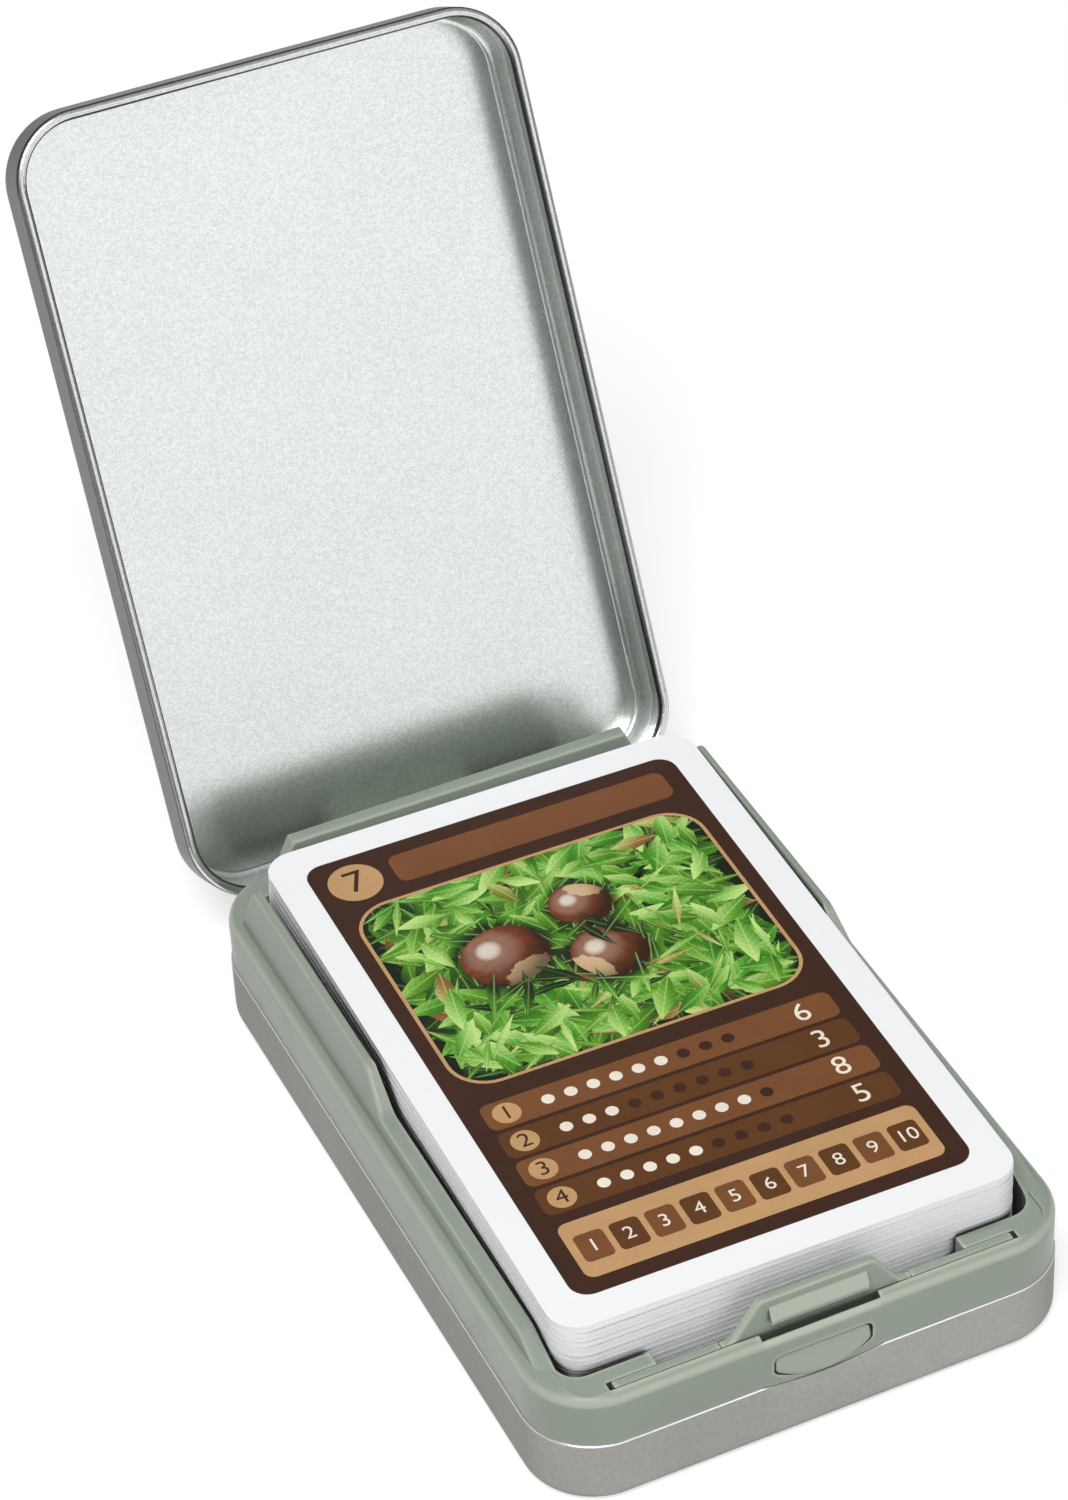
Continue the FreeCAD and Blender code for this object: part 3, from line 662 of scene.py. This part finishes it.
def paper_material(look, low):
    """Coated white stock whose cut edges have tones and lines of their own, in shade low in the tray."""
    desk = MaterialDesk("card_stock_white")
    grain = desk.grain(GRAIN["paper"])
    flat = desk.spread(desk.sum("ABSOLUTE", desk.split(desk.facing())["Z"]), 0.4, 0.8)
    wander = desk.noise(desk.stretched(desk.coords, (1.0, 1.0, 3.0)), 60.0, 2.0)
    wander = desk.waver(wander, -0.18, 0.18)
    level = desk.sum("DIVIDE", desk.minus(desk.split(desk.coords)["Z"], low), look.thickness)
    number = desk.sum("FLOOR", desk.plus(level, 0.001))
    within = desk.minus(level, number)
    own = desk.add("ShaderNodeTexWhiteNoise", {"W": number}, noise_dimensions="1D").outputs["Value"]
    near = desk.sum("ABSOLUTE", desk.minus(within, 0.5))
    strength = desk.spread(desk.plus(own, wander), 0.3, 1.0, 0.0, 0.2)
    line = desk.times(desk.spread(near, 0.3, 0.5), strength)
    cut = desk.mix(desk.spread(own, 0.0, 1.0), look.edge, look.face)
    cut = desk.mix(line, cut, look.line)
    valley = desk.group(depth_group(), Reach=look.reach)["Valley"]
    cut = desk.mix(desk.spread(valley, 0.3, 0.65, 0.0, 0.97), cut, look.gap)
    face = desk.mix(desk.spread(valley, 0.75, 0.98, 0.0, 0.97), look.face, look.gap)
    tone = desk.spread(grain["Speckle"], 0.0, 1.0, 0.985, 1.0)
    colour = tinted(desk, desk.mix(flat, cut, face), tone)
    rough = desk.waver(grain["Cloud"], 0.42, 0.52)
    normal = desk.first("ShaderNodeBump", {"Height": grain["Speckle"], "Distance": RELIEF["paper"]})
    return desk.finished(
        {"Base Color": colour, "Roughness": rough, "Normal": normal, "Specular IOR Level": 0.2}
    )


def inked(desk, colour):
    """Material finished as ink of one colour, plain or worked out by nodes."""
    ink = desk.group(print_group(), Vector=desk.coords, Colour=colour)
    return desk.finished(
        {"Base Color": ink["Colour"], "Roughness": ink["Roughness"], "Specular IOR Level": 0.3}
    )


def ink_material(name, colour):
    """One printed colour."""
    return inked(MaterialDesk("ink_" + name), colour)


def leaf_material(look, nuts):
    """Printed leaf: dark to bright by its own tone, with a pale rib, and in shade beside the nuts."""
    desk = MaterialDesk("ink_leaf")
    own = desk.attribute("leaf_tone", "Fac")
    hue = desk.attribute("leaf_hue", "Fac")
    across, along, _ = desk.split(desk.attribute("leaf_place", "Vector"))
    aside = desk.sum("ABSOLUTE", across)
    rib = desk.spread(aside, 0.05, 0.0)
    veins = desk.sum("SINE", desk.times(desk.plus(along, aside), LEAF_VEINS))
    light = desk.plus(own, desk.times(across, 0.45))
    light = desk.plus(light, desk.times(along, 0.22))
    light = desk.plus(light, desk.times(veins, 0.03))
    for centre, radius in nuts:
        away = desk.vector("LENGTH", desk.vector("SUBTRACT", desk.coords, centre))
        light = desk.times(light, desk.spread(away, radius * 0.8, radius * 1.45, 0.2, 1.0))
    yellower = (look.leaf[0] * 1.9, look.leaf[1], look.leaf[2])
    middle = desk.mix(desk.spread(hue, 0.0, 0.9), look.leaf, yellower)
    middle = desk.mix(desk.spread(hue, 0.93, 0.94), middle, look.dry)
    colour = desk.mix(desk.spread(light, 0.25, 0.95), look.shade, middle)
    colour = desk.mix(desk.spread(light, 0.72, 1.3), colour, look.bright)
    colour = desk.mix(desk.times(desk.times(rib, own), 0.5), colour, look.bright)
    return inked(desk, colour)


def nut_material(look):
    """Printed nut: lit as a ball from the upper left, with wavy grain, a gloss spot and a pale scar."""
    desk = MaterialDesk("ink_nut")
    flat = desk.attribute("nut_place", "Vector")
    turned = desk.attribute("nut_turned", "Vector")
    reach = desk.vector("DOT_PRODUCT", flat, flat)
    rise = desk.sum("SQRT", desk.sum("MAXIMUM", desk.minus(1.0, reach), 0.0))
    x, y, _ = desk.split(flat)
    ball = desk.merged(x, y, rise)
    lit = desk.vector("DOT_PRODUCT", ball, NUT_LIGHT)
    gloss = desk.vector("DOT_PRODUCT", ball, NUT_GLOSS)
    bent = desk.times(desk.noise(turned, 1.6, 2.0), NUT_WAVES)
    rings = desk.sum("SINE", desk.plus(desk.times(desk.split(turned)["Y"], NUT_RINGS), bent))
    dark = dimmed(look.nut, NUT_SHADE)
    colour = desk.mix(desk.spread(lit, -0.25, 0.85), dark, look.nut)
    colour = desk.mix(desk.spread(rings, -1.0, 1.0, 0.0, 0.3), colour, dark)
    scar = desk.vector("MULTIPLY", desk.vector("SUBTRACT", turned, NUT_SCAR), (1.5, 2.6, 1.0))
    fray = desk.waver(desk.noise(turned, 7.0, 3.0), -0.09, 0.09)
    frayed = desk.plus(desk.vector("LENGTH", scar), fray)
    pale = desk.mix(desk.spread(lit, -0.3, 0.7), dimmed(look.scar, SCAR_SHADE), look.scar)
    colour = desk.mix(desk.spread(frayed, 0.95, 0.85), colour, pale)
    colour = desk.mix(desk.spread(gloss, 0.93, 0.995, 0.0, 0.75), colour, look.pale)
    colour = desk.mix(desk.spread(gloss, 0.6, 0.95, 0.0, 0.14), colour, look.pale)
    return inked(desk, colour)


def dress(node, material):
    """Give a carried-over node its finish."""
    slots = frame["nodes"][node].data.materials
    slots.clear()
    slots.append(material)


def add_object(name, data):
    """New object in the scene."""
    piece = bpy.data.objects.new(name, data)
    bpy.context.scene.collection.objects.link(piece)
    return piece


def card_place():
    """Matrix from the top card's own millimetres, with its face at zero, to the frame."""
    low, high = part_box(TOP_CARD)
    mesh = bmesh.new()
    mesh.from_mesh(frame["nodes"][TOP_CARD].data)
    sides = [edge for edge in mesh.edges if edge.is_boundary]
    longest = max(sides, key=lambda edge: edge.calc_length())
    run = longest.verts[1].co - longest.verts[0].co
    mesh.free()
    if run.y < 0:
        run = -run
    middle = (low + high) / 2
    turn = Matrix.Rotation(math.atan2(-run.x, run.y), 4, "Z")
    return Matrix.Translation((middle.x, middle.y, high.z)) @ turn @ Matrix.Scale(MM, 4)


def rounded(x0, x1, y0, y1, radius, steps=8):
    """Points round a field with round corners."""
    points = []
    for cx, cy, start in (
        (x1 - radius, y1 - radius, 0), (x0 + radius, y1 - radius, 90),
        (x0 + radius, y0 + radius, 180), (x1 - radius, y0 + radius, 270),
    ):
        for step in range(steps + 1):
            angle = math.radians(start + 90 * step / steps)
            points.append((cx + radius * math.cos(angle), cy + radius * math.sin(angle)))
    return points


def grown_field(field, side, end, radius):
    """Points round a field that is larger at its sides and ends, or smaller, with corners of its own."""
    x0, x1, y0, y1, _ = field
    return rounded(x0 - side, x1 + side, y0 - end, y1 + end, radius)


def flat_mesh(name, *loops):
    """Flat mesh inside closed loops of (x, y) points; a loop within a loop is a hole."""
    curve = bpy.data.curves.new(name, "CURVE")
    curve.dimensions = "2D"
    curve.fill_mode = "BOTH"
    for loop in loops:
        spline = curve.splines.new("POLY")
        spline.points.add(len(loop) - 1)
        spline.use_cyclic_u = True
        for point, (x, y) in zip(spline.points, loop):
            point.co = (x, y, 0, 1)
    return flattened(name, curve)


def figure_mesh(name, text, height, x, y):
    """Flat mesh of a plain number, centred at (x, y)."""
    curve = bpy.data.curves.new(name, "FONT")
    curve.body = text
    curve.size = height
    curve.align_x = "CENTER"
    curve.align_y = "CENTER"
    mesh = flattened(name, curve)
    mesh.transform(Matrix.Translation((x, y, 0)))
    return mesh


def flattened(name, curve):
    """Filled curve turned into a flat mesh with its front side up."""
    mesh = worked_out(add_object(name + "_outline", curve))
    bpy.data.curves.remove(curve)
    return mesh


def worked_out(holder):
    """Plain mesh of an object's curve or modifiers, front side up; the object goes."""
    depsgraph = bpy.context.evaluated_depsgraph_get()
    mesh = bpy.data.meshes.new_from_object(holder.evaluated_get(depsgraph))
    holder.modifiers.clear()
    bpy.data.objects.remove(holder)
    return face_up(mesh)


def face_up(mesh):
    """The same mesh with one side only, turned upwards."""
    work = bmesh.new()
    work.from_mesh(mesh)
    bmesh.ops.remove_doubles(work, verts=work.verts, dist=1e-6)
    for face in work.faces:
        if face.normal.z < 0:
            face.normal_flip()
    work.to_mesh(mesh)
    work.free()
    return mesh


def printed(name, meshes, layer, material):
    """One piece of print from flat meshes in card millimetres, in one of the layers on the card."""
    work = bmesh.new()
    for mesh in meshes:
        work.from_mesh(mesh)
        bpy.data.meshes.remove(mesh)
    joined = bpy.data.meshes.new(name)
    work.to_mesh(joined)
    work.free()
    joined.transform(card_place() @ Matrix.Translation((0, 0, LIFTS[layer] * MM)))
    joined.materials.clear()
    joined.materials.append(material)
    piece = add_object(name, joined)
    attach(piece, "base")


def geometry_tree(name, inputs):
    """Empty geometry node tree that takes a mesh, an ink and the named inputs, and puts out one mesh."""
    return new_group(
        name, [("Geometry", "Geometry"), *inputs, ("Ink", "Material")], [("Geometry", "Geometry")],
        "GeometryNodeTree",
    )


def close_tree(desk, strewn, ink, wanted):
    """Last nodes of a geometry tree: real faces instead of instances, in one ink."""
    plain = desk.first("GeometryNodeRealizeInstances", {"Geometry": strewn})
    desk.join(desk.first("GeometryNodeSetMaterial", {"Geometry": plain, "Material": ink}), wanted["Geometry"])
    return desk.tree


def disc_of(desk, sides, radius):
    """Flat disc in a geometry tree."""
    inputs = {"Vertices": sides, "Radius": radius}
    return desk.first("GeometryNodeMeshCircle", inputs, fill_type="TRIANGLE_FAN")


def scatter_tree():
    """Geometry nodes that strew flat pointed leaves over a flat mesh, each at a height of its own."""
    desk, given, wanted = geometry_tree(
        "Leaf Scatter",
        [("Gap", "Float"), ("Length", "Float"), ("Slimness", "Float"), ("Lift", "Float"), ("Seed", "Int")],
    )
    seed = given["Seed"]
    points = desk.add(
        "GeometryNodeDistributePointsOnFaces",
        {"Mesh": given["Geometry"], "Distance Min": given["Gap"], "Density Max": LEAF_DENSITY, "Seed": seed},
        distribute_method="POISSON",
    ).outputs["Points"]
    disc = disc_of(desk, LEAF_SIDES, 1.0)
    spot = desk.split(desk.first("GeometryNodeInputPosition"))
    taper = desk.minus(1.0, desk.times(desk.sum("ABSOLUTE", spot["Y"]), given["Slimness"]))
    narrow = desk.times(desk.times(spot["X"], taper), desk.minus(1.0, given["Slimness"]))
    shaped = desk.merged(narrow, spot["Y"])
    leaf = desk.first("GeometryNodeSetPosition", {"Geometry": disc, "Position": shaped})
    leaf = desk.first(
        "GeometryNodeStoreNamedAttribute",
        {"Geometry": leaf, "Name": "leaf_place", "Value": desk.first("GeometryNodeInputPosition")},
        data_type="FLOAT_VECTOR", domain="POINT",
    )
    spin = desk.merged(z=desk.chance(seed, 0.0, 2 * math.pi, DRAWS["turn"]))
    size = desk.times(desk.chance(seed, *LEAF_SIZES, DRAWS["size"]), given["Length"])
    strewn = desk.first(
        "GeometryNodeInstanceOnPoints",
        {"Points": points, "Instance": leaf, "Rotation": spin, "Scale": size},
    )
    height = desk.chance(seed, 0.0, 1.0, DRAWS["height"])
    hue = desk.chance(seed, 0.0, 1.0, DRAWS["hue"])
    lifted = desk.merged(z=desk.times(height, given["Lift"]))
    strewn = desk.first(
        "GeometryNodeTranslateInstances",
        {"Instances": strewn, "Translation": lifted, "Local Space": False},
    )
    tone = desk.plus(desk.times(height, 0.75), desk.chance(seed, 0.0, 0.35, DRAWS["tone"]))
    for label, value in (("leaf_tone", tone), ("leaf_hue", hue)):
        strewn = desk.first(
            "GeometryNodeStoreNamedAttribute",
            {"Geometry": strewn, "Name": label, "Value": value},
            data_type="FLOAT", domain="INSTANCE",
        )
    return close_tree(desk, strewn, given["Ink"], wanted)


def dots_tree():
    """Geometry nodes that lay a flat disc on every point of a mesh."""
    desk, given, wanted = geometry_tree("Dots on Points", [("Radius", "Float")])
    points = desk.first("GeometryNodeMeshToPoints", {"Mesh": given["Geometry"]})
    disc = disc_of(desk, DOT_SIDES, given["Radius"])
    laid = desk.first("GeometryNodeInstanceOnPoints", {"Points": points, "Instance": disc})
    return close_tree(desk, laid, given["Ink"], wanted)


def grown(name, mesh, tree, values):
    """Plain mesh that a node tree makes from another mesh."""
    holder = add_object(name + "_seed", mesh)
    modifier = holder.modifiers.new("grow", "NODES")
    modifier.node_group = tree
    for item in tree.interface.items_tree:
        if item.item_type == "SOCKET" and item.in_out == "INPUT" and item.name in values:
            modifier[item.identifier] = values[item.name]
    result = worked_out(holder)
    if not result.polygons:
        raise RuntimeError(name + ": the node tree made no faces")
    return result


def dots(name, spots, radius, tree, ink):
    """Flat discs at (x, y) spots in card millimetres."""
    mesh = bpy.data.meshes.new(name)
    mesh.from_pydata([(x, y, 0) for x, y in spots], [], [])
    return grown(name, mesh, tree, {"Radius": radius, "Ink": ink})


def arm_mesh(name, low, high, look):
    """Bar between two corners, divided along its length and rounded along its edges."""
    work = bmesh.new()
    rings = []
    for step in range(look.arm_steps + 1):
        x = low.x + (high.x - low.x) * step / look.arm_steps
        corners = ((low.y, low.z), (high.y, low.z), (high.y, high.z), (low.y, high.z))
        rings.append([work.verts.new((x, y, z)) for y, z in corners])
    for before, after in zip(rings, rings[1:]):
        for index in range(4):
            following = (index + 1) % 4
            work.faces.new((before[index], before[following], after[following], after[index]))
    work.faces.new(rings[0])
    work.faces.new(rings[-1])
    bmesh.ops.recalc_face_normals(work, faces=work.faces)
    long_edges = [e for e in work.edges if e.calc_face_angle() > ARM_CORNER]
    bmesh.ops.bevel(
        work, geom=long_edges, offset=look.arm_bevel, segments=2, profile=0.5, affect="EDGES"
    )
    mesh = bpy.data.meshes.new(name)
    work.to_mesh(mesh)
    work.free()
    mesh.shade_smooth()
    mesh.set_sharp_from_angle(angle=ARM_SMOOTH)
    return mesh


class CARDTIN_OT_tin(Operator):
    """Give the pan, the lid and the hinge pin their metal finishes"""

    bl_idname = "cardtin.tin"
    bl_label = "Tin Finish"

    def execute(self, context):
        look = settings().tin
        dress("base_pan", pan_material(look))
        dress("lid_pan", lid_material(look))
        dress("hinge_pin", wire_material())
        return {"FINISHED"}


class CARDTIN_OT_tray(Operator):
    """Give the tray, the latch and the button their plastic finish"""

    bl_idname = "cardtin.tray"
    bl_label = "Tray Finish"

    def execute(self, context):
        material = plastic_material(settings().tray)
        for node in PLASTIC_NODES:
            dress(node, material)
        return {"FINISHED"}


class CARDTIN_OT_arms(Operator):
    """Make the latch's two spring arms as rounded bars divided along their length"""

    bl_idname = "cardtin.arms"
    bl_label = "Spring Arms"

    def execute(self, context):
        look = settings().tray
        material = plastic_material(look)
        for node in ARM_NODES:
            low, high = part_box(node)
            piece = add_object(node + "_spring", arm_mesh(node + "_spring", low, high, look))
            piece.data.materials.append(material)
            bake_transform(piece)
            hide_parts(node)
        return {"FINISHED"}


class CARDTIN_OT_deck(Operator):
    """Give the cards their white stock and their cut edges"""

    bl_idname = "cardtin.deck"
    bl_label = "Deck Finish"

    def execute(self, context):
        lowest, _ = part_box(CARD_NODES[0])
        material = paper_material(settings().deck, lowest.z)
        for node in CARD_NODES:
            dress(node, material)
        return {"FINISHED"}


def nut_mesh(x, y, radius, turn):
    """Flat outline of a nut, fanned from its middle, with its own place kept for shading."""
    spin = Matrix.Rotation(math.radians(turn), 4, "Z")
    points = [Vector((0.0, 0.0, 0.0))]
    for step in range(NUT_STEPS):
        angle = 2 * math.pi * step / NUT_STEPS
        sides = (math.cos(angle), math.sin(angle))
        across, along = (math.copysign(abs(side) ** (2 / NUT_SQUARENESS), side) for side in sides)
        points.append(Vector((across, along * NUT_FLATNESS, 0.0)))
    faces = [(0, 1 + step, 1 + (step + 1) % NUT_STEPS) for step in range(NUT_STEPS)]
    mesh = bpy.data.meshes.new("nut")
    mesh.from_pydata([spin @ point for point in points], [], faces)
    for label, values in (("nut_turned", points), ("nut_place", [spin @ point for point in points])):
        local = mesh.attributes.new(label, "FLOAT_VECTOR", "POINT")
        for item, value in zip(local.data, values):
            item.vector = value
    mesh.transform(Matrix.Translation((x, y, 0)) @ Matrix.Scale(radius, 4))
    return mesh


def row_middle(index):
    """Height of a score row's middle line on the card."""
    return ROW_TOP - index * ROW_PITCH - ROW_HEIGHT / 2


def cell_middle(index):
    """Place across the card of a track cell's middle."""
    return CELL_LEFT + index * CELL_PITCH


class CARDTIN_OT_picture(Operator):
    """Print the picture of leaves and nuts behind the window of the top card"""

    bl_idname = "cardtin.picture"
    bl_label = "Card Picture"

    def execute(self, context):
        look = settings().face
        tree = scatter_tree()
        soil = ink_material("soil", dimmed(look.shade, SOIL_SHADE))
        ground = grown_field(WINDOW, SOIL_MARGIN, SOIL_MARGIN, SOIL_MARGIN)
        printed("print_soil", [flat_mesh("soil", ground)], "soil", soil)
        place = card_place()
        leaf = leaf_material(look, [(place @ Vector((x, y, 0)), radius * MM) for x, y, radius, _ in NUTS])
        field = grown_field(WINDOW, -LEAF_INSET_SIDE, -LEAF_INSET_END, LEAF_FIELD_CORNER)
        low = [self.strew(look, tree, leaf, field, *layer) for layer in enumerate(LEAF_LAYERS)]
        printed("print_leaves", low, "leaves", leaf)
        printed("print_nuts", [nut_mesh(*nut) for nut in NUTS], "nuts", nut_material(look))
        high = []
        for step, (x, y, radius, _) in enumerate(NUTS, start=len(LEAF_LAYERS)):
            lower, upper, corner = (radius * share for share in BLADE_STRIP)
            below = rounded(x - radius, x + radius, y - lower, y - upper, corner)
            high.append(self.strew(look, tree, leaf, below, step, BLADE_LAYER))
        printed("print_blades", high, "blades", leaf)
        return {"FINISHED"}

    def strew(self, look, tree, leaf, outline, step, layer):
        """One layer of leaves strewn over an outline."""
        share, slimness = layer
        return grown(
            "leaves", flat_mesh("leaf_field", outline), tree,
            {
                "Gap": look.leaf_gap * share / MM, "Length": look.leaf_length / MM, "Slimness": slimness,
                "Lift": LEAF_SPREAD, "Seed": look.seed + step, "Ink": leaf,
            },
        )


class CARDTIN_OT_panel(Operator):
    """Print the dark panel, the rows and the score track of the top card"""

    bl_idname = "cardtin.panel"
    bl_label = "Card Panel"

    def execute(self, context):
        look = settings().face
        window = rounded(*WINDOW)
        rim = grown_field(WINDOW, WINDOW_RULE, WINDOW_RULE, WINDOW[-1] + WINDOW_RULE)
        panel = flat_mesh("panel", rounded(*PANEL), window)
        printed("print_panel", [panel], "panel", ink_material("ground", look.ground))
        rules = [flat_mesh("rim", rim, window), flat_mesh("track", rounded(*TRACK))]
        printed("print_rules", rules, "rules", ink_material("tan", look.tan))
        brown, ochre = [flat_mesh("title", rounded(*TITLE))], []
        for index in range(len(ROW_SCORES)):
            middle = row_middle(index)
            low, high = middle - ROW_HEIGHT / 2, middle + ROW_HEIGHT / 2
            bar = rounded(ROW_LEFT, ROW_RIGHT, low, high, ROW_CORNER)
            (ochre if index % 2 else brown).append(flat_mesh("row", bar))
        low, high = CELL_MIDDLE - CELL_HALF_HEIGHT, CELL_MIDDLE + CELL_HALF_HEIGHT
        for index in range(CELL_COUNT):
            x = cell_middle(index)
            cell = rounded(x - CELL_HALF_WIDTH, x + CELL_HALF_WIDTH, low, high, CELL_CORNER)
            (ochre if index % 2 else brown).append(flat_mesh("cell", cell))
        printed("print_brown", brown, "rows", ink_material("brown", look.brown))
        printed("print_ochre", ochre, "rows", ink_material("ochre", look.ochre))
        return {"FINISHED"}


class CARDTIN_OT_figures(Operator):
    """Print the plain numbers and the pips of the top card"""

    bl_idname = "cardtin.figures"
    bl_label = "Card Figures"

    def execute(self, context):
        look = settings().face
        tree = dots_tree()
        tan = ink_material("disc", look.tan)
        pale = ink_material("pale", look.pale)
        dark = ink_material("dark", look.ground)
        full, empty, row_discs = [], [], []
        bright_figures, dark_figures = [], [figure_mesh("badge", "7", BADGE_FIGURE, *BADGE)]
        for index, score in enumerate(ROW_SCORES):
            middle = row_middle(index)
            row_discs.append((ROW_DISC_X, middle))
            dark_figures.append(figure_mesh("row_number", str(index + 1), ROW_FIGURE, ROW_DISC_X, middle))
            bright_figures.append(figure_mesh("score", str(score), SCORE_FIGURE, SCORE_X, middle))
            for pip in range(PIP_COUNT):
                spot = (PIP_LEFT + pip * PIP_PITCH, middle)
                (full if pip < score else empty).append(spot)
        for index in range(CELL_COUNT):
            place = (cell_middle(index), CELL_MIDDLE)
            bright_figures.append(figure_mesh("track_number", str(index + 1), CELL_FIGURE, *place))
        discs = [dots("badge_disc", [BADGE], BADGE_RADIUS, tree, tan)]
        discs.append(dots("row_discs", row_discs, ROW_DISC_RADIUS, tree, tan))
        printed("print_discs", discs, "discs", tan)
        printed("print_empty_pips", [dots("empty_pips", empty, PIP_RADIUS, tree, dark)], "discs", dark)
        full_pips = dots("full_pips", full, PIP_RADIUS, tree, pale)
        printed("print_pale", [full_pips, *bright_figures], "figures", pale)
        printed("print_dark", dark_figures, "figures", dark)
        return {"FINISHED"}


class CARDTIN_OT_stage(Operator):
    """Lay the floor, hang the lamps and place the camera"""

    bl_idname = "cardtin.stage"
    bl_label = "Stage"

    def execute(self, context):
        look = settings().stage
        context.scene.view_settings.view_transform = "Standard"
        self.lay_floor(look)
        self.light_world(context, look)
        self.hang_lamp("lamp_above", look.key, *LAMP_ABOVE)
        self.hang_lamp("lamp_front", look.front, *LAMP_FRONT)
        self.place_camera(context, look)
        return {"FINISHED"}

    def lay_floor(self, look):
        """Wide pale floor just under the tin."""
        mesh = bpy.data.meshes.new("floor")
        work = bmesh.new()
        bmesh.ops.create_circle(work, cap_ends=True, segments=FLOOR_SIDES, radius=FLOOR_RADIUS)
        work.to_mesh(mesh)
        work.free()
        mesh.transform(Matrix.Translation((0, 0, -FLOOR_DROP)))
        floor = add_object("floor", face_up(mesh))
        desk = MaterialDesk("floor_pale")
        cloud = desk.noise(desk.coords, 3.0, 2.0)
        tone = desk.mix(cloud, dimmed(look.floor, FLOOR_CLOUD), look.floor)
        rays = desk.add("ShaderNodeLightPath").outputs
        seen = desk.sum("MAXIMUM", rays["Is Camera Ray"], rays["Is Glossy Ray"])
        seen = desk.sum("MAXIMUM", seen, rays["Is Transmission Ray"])
        material = desk.finished(
            {
                "Base Color": tone, "Roughness": 0.9, "Specular IOR Level": 0.0,
                "Emission Color": desk.mix(seen, (0.0, 0.0, 0.0), [look.lift] * 3), "Emission Strength": 1.0,
            }
        )
        mesh.materials.append(material)

    def light_world(self, context, look):
        """Soft light from all round, dimmer near the horizon."""
        world = bpy.data.worlds.new("studio")
        world.use_nodes = True
        desk = NodeDesk(world.node_tree)
        rise = desk.split(desk.add("ShaderNodeTexCoord").outputs["Generated"])["Z"]
        background = next(n for n in world.node_tree.nodes if n.type == "BACKGROUND")
        desk.join((1.0, 1.0, 1.0), background.inputs["Color"])
        desk.join(desk.spread(rise, 0.1, 0.65, look.low, look.fill), background.inputs["Strength"])
        context.scene.world = world

    def hang_lamp(self, name, power, place, target, size):
        """Large flat lamp that points at a target."""
        lamp = bpy.data.lights.new(name, "AREA")
        lamp.shape = "RECTANGLE"
        lamp.size, lamp.size_y = size
        lamp.energy = power
        holder = add_object(name, lamp)
        direction = Vector(target) - Vector(place)
        holder.location = place
        holder.rotation_euler = direction.to_track_quat("-Z", "Y").to_euler()

    def place_camera(self, context, look):
        """Camera at the photograph's angle, with its slight roll; its right side is squared to its view."""
        camera = bpy.data.cameras.new("camera")
        camera.sensor_fit = "VERTICAL"
        camera.sensor_height = SENSOR_HEIGHT
        camera.lens = look.lens
        camera.clip_start = CLIP_START
        holder = add_object("camera", camera)
        right = Vector(CAMERA_RIGHT)
        forward = Vector(CAMERA_FORWARD).normalized()
        right = (right - forward * right.dot(forward)).normalized()
        turn = Matrix((right, right.cross(forward), -forward)).transposed().to_4x4()
        holder.matrix_world = Matrix.Translation(CAMERA_PLACE) @ turn
        context.scene.camera = holder


OPERATORS = (
    CARDTIN_OT_tin,
    CARDTIN_OT_tray,
    CARDTIN_OT_arms,
    CARDTIN_OT_deck,
    CARDTIN_OT_picture,
    CARDTIN_OT_panel,
    CARDTIN_OT_figures,
    CARDTIN_OT_stage,
)


class VIEW3D_PT_card_tin(Panel):
    """Steps and settings of the card tin"""

    bl_label = "Card Tin"
    bl_space_type = "VIEW_3D"
    bl_region_type = "UI"
    bl_category = "Card Tin"

    def draw(self, context):
        layout = self.layout
        for operator in OPERATORS:
            layout.operator(operator.bl_idname)
        for name, group in context.scene.card_tin.bl_rna.properties.items():
            if group.type == "POINTER" and name != "rna_type":
                look = getattr(context.scene.card_tin, name)
                column = layout.column(heading=group.name)
                for key in look.__annotations__:
                    column.prop(look, key)


CLASSES = (
    TinLook, TrayLook, DeckLook, PrintLook, StageLook, CardTinSettings, *OPERATORS, VIEW3D_PT_card_tin,
)


def register():
    """Add the classes and the scene's settings."""
    for item in CLASSES:
        bpy.utils.register_class(item)
    bpy.types.Scene.card_tin = PointerProperty(type=CardTinSettings)


def unregister():
    """Take the settings and the classes away again."""
    del bpy.types.Scene.card_tin
    for item in reversed(CLASSES):
        bpy.utils.unregister_class(item)


def main():
    """Build every piece in order."""
    register()
    for operator in OPERATORS:
        group, step = operator.bl_idname.split(".")
        getattr(getattr(bpy.ops, group), step)()


if __name__ == "__main__":
    main()
